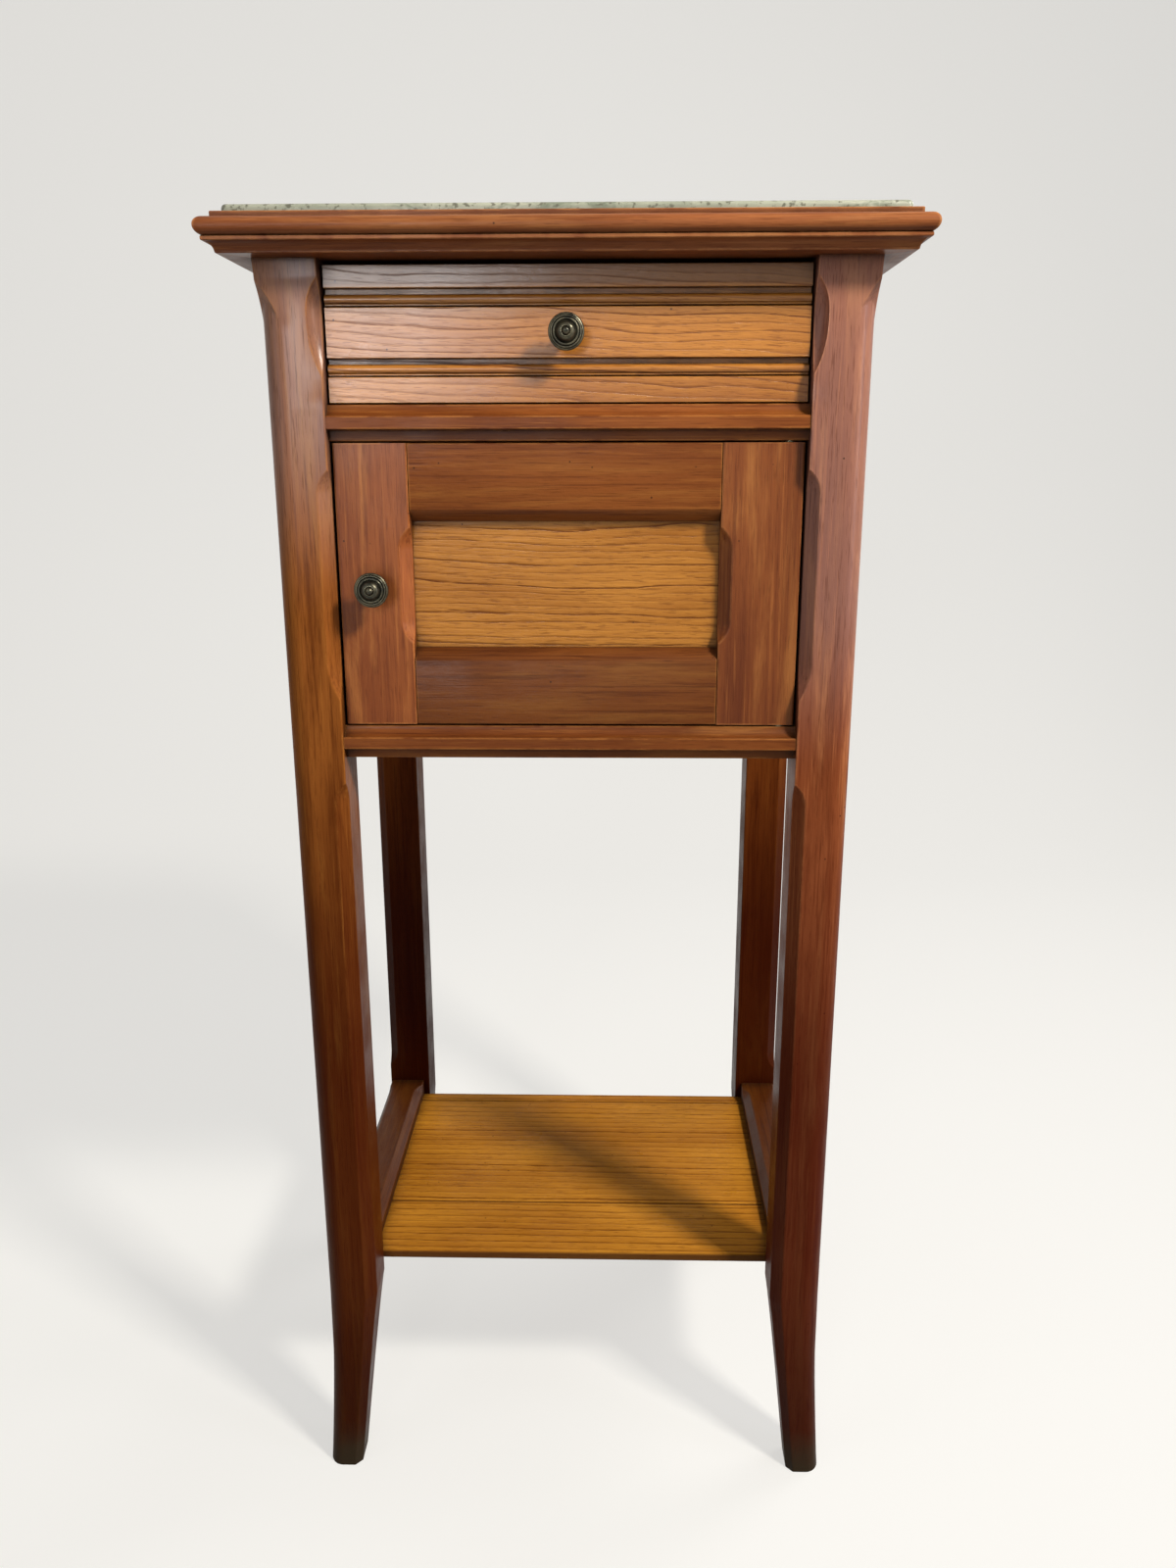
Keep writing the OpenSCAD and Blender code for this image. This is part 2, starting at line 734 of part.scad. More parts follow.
module frame_screws() color("silver") for (right = [false, true]) side_of(right)
    frame_screw_places() screw(frame_screw_d, frame_screw_l);

// ---------------------------------------------------------------- moulded top

lip_in = 2.6;               // how far the lip stands behind the middle of the nosing
fillet_out = 2;             // how far the step under the nosing stands before it

// Section of the top moulding: X runs out from the leg's outer face, Y up
module frame_section() {
    nosing_x = overhang - nosing_r;
    fillet_x = nosing_x + fillet_out;
    fillet_z = cove_r + fillet_h;
    nosing_z = fillet_z + nosing_r;
    lip_x = nosing_x - lip_in;
    rebate_z = frame_h + marble_proud - marble_t;
    difference() {
        union() {
            translate([-frame_seat_w, 0]) square([frame_seat_w + lip_x - lip_w, rebate_z]);
            translate([-frame_seat_w, 0]) square([frame_seat_w + fillet_x, fillet_z]);
            square([nosing_x, nosing_z + nosing_r]);
            translate([nosing_x, nosing_z]) circle(r = nosing_r, $fn = fine);
            translate([lip_x - lip_w, 0]) square([lip_w, frame_h]);
        }
        translate([fillet_x, 0]) circle(r = cove_r, $fn = fine);
        translate([-frame_seat_w - bite, rebate_z])
            square([frame_seat_w + bite + lip_x - lip_w, frame_h]);
    }
}

marble_x = overhang - nosing_r - lip_in - lip_w;    // marble's edge, out from the legs' faces

// The front member is mitred at both ends
module top_frame_front() color("sienna") difference() {
    translate([-top_w / 2, y_front, z_frame]) rotate([0, 0, -90]) along_y(top_w) frame_section();
    for (right = [false, true]) side_of(right) mitre_cut(false);
}

// Left side member, mitred at the front and square at the back
module top_frame_side() difference() {
    translate([-x_out, -top_d / 2, z_frame]) mirror([1, 0, 0]) along_y(top_d) frame_section();
    mitre_cut(true);
    frame_screw_places() screw_hole(frame_screw_d, frame_screw_l);
}

// Half space on one side of the left mitre, which runs through the legs' corner
module mitre_cut(front_side) {
    far = top_w;
    translate([-x_out, y_front, z_frame - bite]) rotate([0, 0, 45])
        translate([-far, front_side ? -far : 0, 0]) cube([2 * far, far, frame_h + 2 * bite]);
}

module top_frame_left() color("sienna") top_frame_side();
module top_frame_right() color("sienna") side_of(true) top_frame_side();

// Plain member between the side members at the back
module top_frame_back() color("sienna") {
    inner = x_out - frame_seat_w;
    block([-inner, y_back - frame_seat_w, z_frame], [inner, y_back, z_marble]);
}

module marble_top() color("darkseagreen") {
    half = x_out + marble_x - joint_gap;
    y0 = y_front - marble_x + joint_gap;
    r = marble_edge_r;
    corner = marble_corner_r;
    difference() {
        translate([0, 0, z_marble]) linear_extrude(marble_t) union() {
            translate([-half, y0 + corner]) square([2 * half, y_back - y0 - corner]);
            translate([corner - half, y0]) square([2 * (half - corner), corner]);
            for (x = [corner - half, half - corner])
                translate([x, y0 + corner]) circle(r = corner, $fn = fine);
        }
        for (right = [false, true]) side_of(right)
            translate([-half, y0 - bite, total_h]) along_y(y_back - y0 + 2 * bite) edge_round(r);
        translate([-half - bite, y0, total_h]) along_x(2 * half + 2 * bite) edge_round(r);
    }
}

// What a rounded upper left edge takes off; the corner is at the origin
module edge_round(r) difference() {
    translate([-bite, -r]) square([r + bite, r + bite]);
    translate([r, -r]) circle(r = r, $fn = fine);
}

// ---------------------------------------------------------------- shelf

// Both tenons of the left stretcher
module stretcher_tenons(gap = 0) {
    low_x = -x_out + stretcher_setback + (stretcher_t - tenon_t) / 2;
    for (y = [y_in_front, y_in_back])
        slot([low_x, y - tenon_l, z_stretcher + tenon_shoulder],
            [low_x + tenon_t, y + tenon_l, z_stretcher + stretcher_h - 2 * tenon_shoulder], gap);
}

module stretcher() {
    low_x = -x_out + stretcher_setback;
    high_x = low_x + stretcher_t;
    top = z_stretcher + stretcher_h;
    cut_l = bay_d - 2 * stretcher_stop_in;
    cut_end = y_in_back - stretcher_stop_in;
    difference() {
        union() {
            block([low_x, y_in_front, z_stretcher], [high_x, y_in_back, top]);
            intersection() {
                stretcher_tenons();
                block([-x_out, y_in_front - tenon_l, z_stretcher], [0, y_in_back + tenon_l, top]);
            }
        }
        translate([high_x, cut_end, top]) rotate([90, 0, 0]) rotate([0, 0, 180])
            stopped_chamfer(cut_l, stretcher_chamfer, stop_short, stop_short);
        translate([low_x, cut_end, top]) rotate([90, 0, 0]) rotate([0, 0, -90])
            stopped_chamfer(cut_l, stretcher_chamfer / 2, stop_short, stop_short);
        shelf_block(y_in_front - bite, y_in_back + bite, joint_gap);
    }
}

module stretcher_left() color("sienna") stretcher();
module stretcher_right() color("sienna") side_of(true) stretcher();

// Shelf boards between two depths, their ends in the stretchers' grooves
module shelf_block(y0, y1, gap = 0) {
    reach = x_out - stretcher_setback - stretcher_t + groove_d;
    slot([-reach, y0, shelf_z - shelf_t], [reach, y1, shelf_z], gap);
}

board_gap = 0.3;
y_joint_front = y_in_front + shelf_front_w;
y_joint_back = y_in_back - shelf_back_w;

module shelf_board_front() color("goldenrod") shelf_block(y_in_front, y_joint_front);
module shelf_board_middle() color("goldenrod") shelf_block(y_joint_front + board_gap, y_joint_back);
module shelf_board_back() color("goldenrod") shelf_block(y_joint_back + board_gap, y_in_back);

// ---------------------------------------------------------------- drawer

drawer_top = z_drawer + drawer_h;
dovetail_l = 14;
dovetail_count = 2;

// What one moulding takes off the drawer front, seen from the side: X is depth, Y is height
module moulding_cut() {
    quirk = 0.8;                // height of the dark line at the bottom
    step_h = 1;                 // height of the small step over it
    step_in = 1.5;              // how far the step stands behind the drawer's face
    bead_z = quirk + step_h + 0.9 * bead_r;
    bead_x = bead_r + 0.3;
    difference() {
        translate([-bite, 0]) square([bead_band_d + bite, bead_band_h]);
        translate([bead_x, bead_z]) circle(r = bead_r, $fn = fine);
        translate([bead_x, quirk]) square([bead_band_d, bead_z + 0.8 * bead_r - quirk]);
        translate([step_in, quirk]) square([bead_band_d, step_h]);
    }
}

module drawer_front() color("peru") difference() {
    block([-drawer_half, y_drawer, z_drawer], [drawer_half, y_drawer + drawer_front_t, drawer_top]);
    for (z = [z_drawer + drawer_low_flat, drawer_top - drawer_high_flat - bead_band_h])
        translate([-drawer_half - bite, y_drawer, z]) along_x(2 * drawer_half + 2 * bite) moulding_cut();
    for (right = [false, true]) side_of(right) drawer_tails(snug_gap);
    drawer_bottom_block(joint_gap);
    translate([0, y_drawer - bite, knob_height]) rotate([-90, 0, 0])
        cylinder(d = stud_d + 2 * hole_gap, h = drawer_front_t + 2 * bite, $fn = fine);
}

knob_height = z_drawer + drawer_h / 2;

// Dovetails at the front end of the left drawer side
module drawer_tails(gap = 0) {
    y_end = y_drawer + drawer_front_t;
    pitch = drawer_side_h / dovetail_count;
    for (i = [0:dovetail_count - 1])
        translate([-box_half - gap, 0, side_z + pitch * (i + 0.5)])
            along_x(drawer_side_t + 2 * gap)
                polygon([
                    [y_end + bite, -pitch * 0.22 - gap], [y_end + bite, pitch * 0.22 + gap],
                    [y_end, pitch * 0.22 + gap], [y_end - dovetail_l - gap, pitch * 0.34 + gap],
                    [y_end - dovetail_l - gap, -pitch * 0.34 - gap], [y_end, -pitch * 0.22 - gap]
                ]);
}

y_drawer_end = y_drawer + drawer_l;

module drawer_side() difference() {
    union() {
        block([-box_half, y_drawer + drawer_front_t, side_z],
            [-box_half + drawer_side_t, y_drawer_end, side_z + drawer_side_h]);
        drawer_tails();
    }
    drawer_bottom_block(joint_gap);
    drawer_back_block(joint_gap);
}

back_in = 6;                // how far the drawer's back stands inside the ends of its sides

// Drawer back, housed in the sides and standing on the bottom
module drawer_back_block(gap = 0) {
    reach = box_half - drawer_side_t + drawer_groove;
    slot([-reach, y_drawer_end - drawer_side_t - back_in, drawer_bottom_z + drawer_bottom_t],
        [reach, y_drawer_end - back_in, side_z + drawer_side_h - back_in], gap);
}

module drawer_bottom_block(gap = 0) {
    reach = box_half - drawer_side_t + drawer_groove;
    slot([-reach, y_drawer + drawer_front_t - drawer_groove, drawer_bottom_z],
        [reach, y_drawer_end - wall_gap, drawer_bottom_z + drawer_bottom_t], gap);
}

module drawer_side_left() color("burlywood") drawer_side();
module drawer_side_right() color("burlywood") side_of(true) drawer_side();
module drawer_back() color("burlywood") drawer_back_block();
module drawer_bottom() color("burlywood") drawer_bottom_block();

// ---------------------------------------------------------------- knobs

knob_base_h = 1.6;          // thickness of the ring that stands on the wood
knob_rim_t = 2.2;           // thickness of the widest ring
knob_step = 1.2;            // height of one step on the knob's face
knob_cup_r = 3.6;           // radius of the hollow behind the rim
button_r = 2.3;             // radius of the button in the middle
stud_past_wood = 7;

// Half section of a knob: X is the radius and Y runs out from the wood
module knob_section() {
    r = knob_d / 2;
    rim = knob_l * 0.62;
    face = rim + knob_rim_t;
    dome_r = r * 0.56;
    intersection() {
        square([knob_d, knob_l]);
        union() {
            square([r * 0.62, knob_base_h]);
            square([r * 0.36, rim]);
            difference() {
                translate([0, rim - knob_cup_r]) square([r, knob_cup_r]);
                translate([r, rim - knob_cup_r]) circle(r = knob_cup_r - 0.2, $fn = fine);
            }
            translate([0, rim - 0.1]) square([r, knob_rim_t]);
            translate([0, face - 0.4]) square([r - knob_step, knob_step]);
            translate([r - 2.2 * knob_step, face + 0.6]) circle(r = 0.9, $fn = fine);
            translate([0, face]) square([r - 3 * knob_step, 1.3 * knob_step]);
            translate([0, face + knob_step]) scale([1, 0.62]) circle(r = dome_r, $fn = fine);
            translate([0, knob_l - button_r]) circle(r = button_r, $fn = fine);
        }
    }
}

// Turned knob with its stud; the wood's face is at y = 0 and the knob points to -Y
module knob(wood_t) rotate([90, 0, 0]) {
    rotate_extrude($fn = fine) knob_section();
    translate([0, 0, -wood_t - stud_past_wood])
        cylinder(d = stud_d, h = wood_t + stud_past_wood + bite, $fn = fine);
}

// Square nut behind the wood, whose back face is at y = 0
module knob_nut() {
    difference() {
        block([-nut_w / 2, 0, -nut_w / 2], [nut_w / 2, nut_t, nut_w / 2]);
        translate([0, -bite, 0]) rotate([-90, 0, 0])
            cylinder(d = stud_d + 2 * snug_gap, h = nut_t + 2 * bite, $fn = fine);
    }
}

knob_x = -door_half + knob_stile_w / 2;

module drawer_knob() color("darkgoldenrod") translate([0, y_drawer, knob_height]) knob(drawer_front_t);
module drawer_knob_nut() color("darkgoldenrod")
    translate([0, y_drawer + drawer_front_t, knob_height]) knob_nut();
module door_knob() color("darkgoldenrod") translate([knob_x, y_door, knob_z]) knob(door_t);
module door_knob_nut() color("darkgoldenrod") translate([knob_x, y_door + door_t, knob_z]) knob_nut();

// ---------------------------------------------------------------- door

door_tenon_l = 24;
door_shoulder = 8;

// Tenons at both ends of a door rail
module door_rail_tenons(z, height, gap = 0) {
    slot([knob_stile_in - door_tenon_l, y_panel, z + door_shoulder],
        [pivot_stile_in + door_tenon_l, y_panel + panel_t, z + height - door_shoulder], gap);
}

module door_panel_block(gap = 0) {
    slot([knob_stile_in - groove_d, y_panel, panel_z0 - groove_d],
        [pivot_stile_in + groove_d, y_panel + panel_t, panel_z1 + groove_d], gap);
}

stile_cut_margin = 3;

// A stile whose inner edge is on its right, at x = 0
module stile(width) difference() {
    block([-width, y_door, z_door], [0, y_door + door_t, z_door + door_h]);
    translate([0, y_door, panel_z0 + stile_cut_margin]) rotate([0, 0, 90])
        stopped_chamfer(panel_z1 - panel_z0 - 2 * stile_cut_margin, chamfer_w, stop_short, stop_short);
}

module door_stile_knob() color("sienna") difference() {
    translate([knob_stile_in, 0, 0]) stile(knob_stile_w);
    door_rail_tenons(z_door, door_bottom_rail_h, joint_gap);
    door_rail_tenons(panel_z1, door_top_rail_h, joint_gap);
    door_panel_block(joint_gap);
    translate([knob_x, y_door - bite, knob_z]) rotate([-90, 0, 0])
        cylinder(d = stud_d + 2 * hole_gap, h = door_t + 2 * bite, $fn = fine);
    at_catch() translate([0, 0, -bite])
        cylinder(d = catch_d + 2 * snug_gap, h = catch_l + wall_gap + bite, $fn = fine);
}

module door_stile_pivot() color("sienna") difference() {
    translate([pivot_stile_in, 0, 0]) mirror([1, 0, 0]) stile(pivot_stile_w);
    door_rail_tenons(z_door, door_bottom_rail_h, joint_gap);
    door_rail_tenons(panel_z1, door_top_rail_h, joint_gap);
    door_panel_block(joint_gap);
    for (top = [false, true]) socket_recess(top);
    for (top = [false, true]) pivot_screw_places(top, false) screw_hole(pivot_screw_d, pivot_screw_l);
}

// Bevel and groove side of a rail: Y to the right, Z up, the panel above it
module door_rail_section(height) {
    polygon([[0, 0], [door_t, 0], [door_t, height], [bevel_w, height], [0, height - bevel_w]]);
}

module door_rail_bottom() color("sienna") difference() {
    union() {
        translate([knob_stile_in, y_door, z_door]) along_x(pivot_stile_in - knob_stile_in)
            door_rail_section(door_bottom_rail_h);
        door_rail_tenons(z_door, door_bottom_rail_h);
    }
    door_panel_block(joint_gap);
}

module door_rail_top() color("sienna") difference() {
    union() {
        translate([knob_stile_in, y_door, z_door + door_h]) mirror([0, 0, 1])
            along_x(pivot_stile_in - knob_stile_in) door_rail_section(door_top_rail_h);
        door_rail_tenons(panel_z1, door_top_rail_h);
    }
    door_panel_block(joint_gap);
}

module door_panel() color("goldenrod") door_panel_block();

// ---------------------------------------------------------------- pivots

pivot_collar_h = door_gap - stop_gap;
pivot_collar_w = 1.5;
socket_room = 0.6;          // how far the hole in the door clears the pin all round

// Moves to a pivot, with the case's face at z = 0 and the door above it
module at_pivot(top) {
    if (top) translate([pivot_x, pivot_y, z_drawer_rail]) mirror([0, 0, 1]) children();
    else translate([pivot_x, pivot_y, z_case + rail_h]) children();
}

// Plate outline round the pivot, from z = 0 down
module pivot_plate(gap = 0) {
    slot([pivot_in - plate_l, -plate_w / 4, -plate_t],
        [pivot_in, plate_w * 3 / 4, gap > 0 ? bite : 0], gap);
}

module pivot_screw_places(top, in_case) {
    at_pivot(top) for (share = [0.16, 0.43])
        translate([pivot_in - plate_l * (1 - share), plate_w / 4, in_case ? 0 : door_gap])
            mirror([0, 0, in_case ? 0 : 1]) children();
}

module pivot_recess(top) at_pivot(top) pivot_plate(joint_gap);

// Plates let into the rails, each with its collar and pin
module pivot_pins() color("goldenrod") for (top = [false, true]) difference() {
    at_pivot(top) {
        pivot_plate();
        cylinder(d = pivot_d + 2 * pivot_collar_w, h = pivot_collar_h, $fn = fine);
        cylinder(d = pivot_d, h = door_gap + pivot_pin_h, $fn = fine);
    }
    pivot_screw_places(top, true) screw_hole(pivot_screw_d, pivot_screw_l);
}

module socket_recess(top) at_pivot(top) translate([0, 0, door_gap]) {
    mirror([0, 0, 1]) pivot_plate(joint_gap);
    cylinder(d = pivot_d + 2 * socket_room, h = pivot_pin_h + 2 * socket_room, $fn = fine);
}

// Plates let into the door's edges, each with the hole that a pin turns in
module pivot_sockets() color("goldenrod") for (top = [false, true]) difference() {
    at_pivot(top) translate([0, 0, door_gap]) mirror([0, 0, 1]) pivot_plate();
    at_pivot(top) cylinder(d = pivot_d + 2 * pivot_gap, h = 4 * plate_t + door_gap, $fn = fine);
    pivot_screw_places(top, false) screw_hole(pivot_screw_d, pivot_screw_l);
}

module pivot_screws_case() color("goldenrod") for (top = [false, true])
    pivot_screw_places(top, true) screw(pivot_screw_d, pivot_screw_l);

module pivot_screws_door() color("goldenrod") for (top = [false, true])
    pivot_screw_places(top, false) screw(pivot_screw_d, pivot_screw_l);

// ---------------------------------------------------------------- ball catch

catch_wall = 1.1;
catch_lip_t = 0.3;
catch_end_t = 1;
ball_lip_gap = 0.15;
catch_lip_r = ball_d / 2 - ball_lip_gap;
ball_depth = catch_lip_t + sqrt(pow(ball_d / 2 + ball_lip_gap, 2) - pow(catch_lip_r, 2));

// Moves to the mouth of the catch in the door's left edge, with z running into the door
module at_catch() translate([-door_half, catch_y, catch_z]) rotate([0, 90, 0]) children();

module catch_case() color("goldenrod") at_catch() difference() {
    inner_l = catch_l - catch_end_t;
    cylinder(d = catch_d, h = catch_l, $fn = fine);
    translate([0, 0, -bite]) cylinder(r = catch_lip_r, h = inner_l + bite, $fn = fine);
    translate([0, 0, catch_lip_t])
        cylinder(d = catch_d - 2 * catch_wall, h = inner_l - catch_lip_t, $fn = fine);
}

module catch_ball() color("silver") at_catch() translate([0, 0, ball_depth]) sphere(d = ball_d, $fn = fine);

spring_wire_r = 0.3;
spring_coil_r = 2.1;
spring_turns = 5;
turn_steps = 24;
wire_steps = 8;

// Coil spring between the ball and the end of the case
module catch_spring() color("silver") at_catch() {
    reach = ball_d / 2 + spring_wire_r + snug_gap;
    z0 = ball_depth + sqrt(pow(reach, 2) - pow(spring_coil_r, 2));
    z1 = catch_l - catch_end_t - spring_wire_r - snug_gap;
    rings = spring_turns * turn_steps;
    points = [for (i = [0:rings], j = [0:wire_steps - 1])
        let (
            turn = 360 * i / turn_steps,
            around = 360 * j / wire_steps,
            r = spring_coil_r + spring_wire_r * cos(around)
        )
        [r * cos(turn), r * sin(turn), z0 + (z1 - z0) * i / rings + spring_wire_r * sin(around)]];
    sides = [for (i = [0:rings - 1], j = [0:wire_steps - 1])
        let (k = (j + 1) % wire_steps, low = i * wire_steps, high = low + wire_steps)
            each [[low + j, low + k, high + k], [low + j, high + k, high + j]]];
    ends = [[for (j = [0:wire_steps - 1]) wire_steps - 1 - j],
        [for (j = [0:wire_steps - 1]) rings * wire_steps + j]];
    polyhedron(points = points, faces = concat(sides, ends));
}

strike_h = 26;
strike_w = 10;
dimple_r = 2;

module strike_block(gap = 0) {
    slot([-x_in - plate_t, catch_y - strike_w / 2, catch_z - strike_h / 2],
        [-x_in + (gap > 0 ? bite : 0), catch_y + strike_w / 2, catch_z + strike_h / 2], gap);
}

module strike_recess() {
    strike_block(joint_gap);
    strike_dimple();
    strike_screw_places() screw_hole(strike_screw_d, strike_screw_l);
}

strike_screw_d = 1.8;
strike_screw_l = 8;

// Heads of the strike's screws, flush with the plate and pointing into the leg
module strike_screw_places() {
    for (z = [-strike_h / 3, strike_h / 3])
        translate([-x_in, catch_y, catch_z + z]) rotate([0, 90, 0]) children();
}

// The hollow that the ball springs into
module strike_dimple() {
    translate([-x_in - plate_t - dimple_r, catch_y, catch_z]) rotate([0, 90, 0])
        cylinder(r = dimple_r, h = 2 * dimple_r + plate_t, $fn = fine);
}

module strike_plate() color("goldenrod") difference() {
    strike_block();
    strike_dimple();
    strike_screw_places() screw_hole(strike_screw_d, strike_screw_l);
}

module strike_screws() color("goldenrod") strike_screw_places() screw(strike_screw_d, strike_screw_l);

// ---------------------------------------------------------------- assembly

marble_top();
top_frame_front();
top_frame_left();
top_frame_right();
top_frame_back();
leg_front_left();
leg_front_right();
leg_rear_left();
leg_rear_right();
drawer_rail();
bottom_rail();
side_rail_top_left();
side_rail_top_right();
side_rail_bottom_left();
side_rail_bottom_right();
back_rail_top();
back_rail_bottom();
side_panel_left();
side_panel_right();
back_panel();
cupboard_floor();
floor_cleats();
dust_board();
drawer_runner_left();
drawer_runner_right();
drawer_guide_left();
drawer_guide_right();
kicker_left();
kicker_right();
drawer_stops();
door_stop();
frame_screws();
stretcher_left();
stretcher_right();
shelf_board_front();
shelf_board_middle();
shelf_board_back();
drawer_front();
drawer_side_left();
drawer_side_right();
drawer_back();
drawer_bottom();
drawer_knob();
drawer_knob_nut();
door_stile_knob();
door_stile_pivot();
door_rail_top();
door_rail_bottom();
door_panel();
door_knob();
door_knob_nut();
pivot_pins();
pivot_sockets();
pivot_screws_case();
pivot_screws_door();
catch_case();
catch_spring();
catch_ball();
strike_plate();
strike_screws();
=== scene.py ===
import math

import bmesh
import bpy
from bpy.props import FloatProperty, FloatVectorProperty, PointerProperty
from mathutils import Matrix, Vector


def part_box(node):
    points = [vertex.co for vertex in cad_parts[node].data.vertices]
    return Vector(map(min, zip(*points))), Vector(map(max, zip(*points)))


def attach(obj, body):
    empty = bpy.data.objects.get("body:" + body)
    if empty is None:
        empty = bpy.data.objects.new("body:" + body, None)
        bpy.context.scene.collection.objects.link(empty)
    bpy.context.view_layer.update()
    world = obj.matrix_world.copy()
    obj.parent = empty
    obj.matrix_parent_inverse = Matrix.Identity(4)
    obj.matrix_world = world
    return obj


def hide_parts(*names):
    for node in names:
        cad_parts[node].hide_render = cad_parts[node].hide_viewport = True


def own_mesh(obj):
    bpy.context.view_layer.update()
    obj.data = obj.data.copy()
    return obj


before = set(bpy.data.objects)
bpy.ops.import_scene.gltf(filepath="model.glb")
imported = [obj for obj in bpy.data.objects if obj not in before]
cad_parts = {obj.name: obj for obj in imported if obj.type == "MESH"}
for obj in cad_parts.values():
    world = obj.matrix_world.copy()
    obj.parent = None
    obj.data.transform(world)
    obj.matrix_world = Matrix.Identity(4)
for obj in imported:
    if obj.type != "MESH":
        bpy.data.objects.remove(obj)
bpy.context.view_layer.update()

bl_info = {
    "name": "Bedside Pot Cupboard",
    "version": (1, 0, 0),
    "blender": (4, 5, 0),
    "location": "View3D > Sidebar > Pot Cupboard",
    "description": "Dresses a bedside pot cupboard's frame in polished wood, marble and aged brass",
    "category": "Object",
}

MM = 0.001
SQRT2 = math.sqrt(2.0)
# An edge stays sharp above this angle, in degrees, on straight, moulded, turned and wire pieces
BOARD_ANGLE, MOULD_ANGLE, ROUND_ANGLE, WIRE_ANGLE = 17, 24, 40, 60


def corners_mm(node):
    """Lowest and highest corner of a node, in millimetres."""
    low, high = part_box(node)
    return low / MM, high / MM


def node_span(node, axis):
    """Least and greatest place of a node along one axis, in millimetres."""
    low, high = corners_mm(node)
    return low[axis], high[axis]


# ------------------------------------------------------------------ sizes and colours

class CupboardSizes(bpy.types.PropertyGroup):
    edge: FloatProperty(name="Edge ease", description="How much a board's sharp edges are taken off",
                        default=0.0005, unit="LENGTH", min=0.0002, max=0.001)
    chamfer: FloatProperty(name="Leg chamfer", description="Width a stopped chamfer takes off each face",
                           default=0.0073, unit="LENGTH")
    stop_short: FloatProperty(name="Short stop", description="Length of a short chamfer stop",
                              default=0.014, unit="LENGTH")
    stop_long: FloatProperty(name="Long stop", description="Length of a long chamfer stop",
                             default=0.026, unit="LENGTH")
    corner_r: FloatProperty(name="Leg corner", description="Radius of the legs' rounded front corner",
                            default=0.014, unit="LENGTH")
    corner_stop: FloatProperty(name="Corner stop", description="Length of the shield stop over the corner",
                               default=0.034, unit="LENGTH")
    foot_flare: FloatProperty(name="Foot flare", description="How far a foot kicks out at the floor",
                              default=0.0045, unit="LENGTH")
    foot_taper: FloatProperty(name="Foot taper", description="How much a leg narrows below the shelf",
                              default=0.016, unit="LENGTH")
    marble_edge: FloatProperty(name="Marble edge", description="Radius on the marble's upper edge",
                               default=0.0025, unit="LENGTH")
    knob_r: FloatProperty(name="Knob radius", description="Radius of the knobs' widest ring",
                          default=0.01025, unit="LENGTH")


class CupboardColours(bpy.types.PropertyGroup):
    hardwood: FloatVectorProperty(name="Red hardwood", description="Polished wood of the frame",
                                  subtype="COLOR", size=3, min=0, max=1, default=(0.235, 0.066, 0.014))
    ash: FloatVectorProperty(name="Golden ash", description="Wood of the drawer front, door panel and shelf",
                             subtype="COLOR", size=3, min=0, max=1, default=(0.430, 0.160, 0.024))
    softwood: FloatVectorProperty(name="Pale softwood", description="Unpolished wood inside the case",
                                  subtype="COLOR", size=3, min=0, max=1, default=(0.470, 0.300, 0.155))
    marble: FloatVectorProperty(name="Marble", description="Ground of the marble top",
                                subtype="COLOR", size=3, min=0, max=1, default=(0.400, 0.410, 0.320))
    brass: FloatVectorProperty(name="Aged brass", description="Worn metal of the knobs and pivots",
                               subtype="COLOR", size=3, min=0, max=1, default=(0.200, 0.180, 0.120))
    floor: FloatVectorProperty(name="Floor", description="Plain floor and backdrop",
                               subtype="COLOR", size=3, min=0, max=1, default=(0.740, 0.735, 0.715))


def sizes():
    """The sizes a user can change, in metres."""
    return bpy.context.scene.cupboard_sizes


def colours():
    """The colours a user can change."""
    return bpy.context.scene.cupboard_colours


# ------------------------------------------------------------------ materials

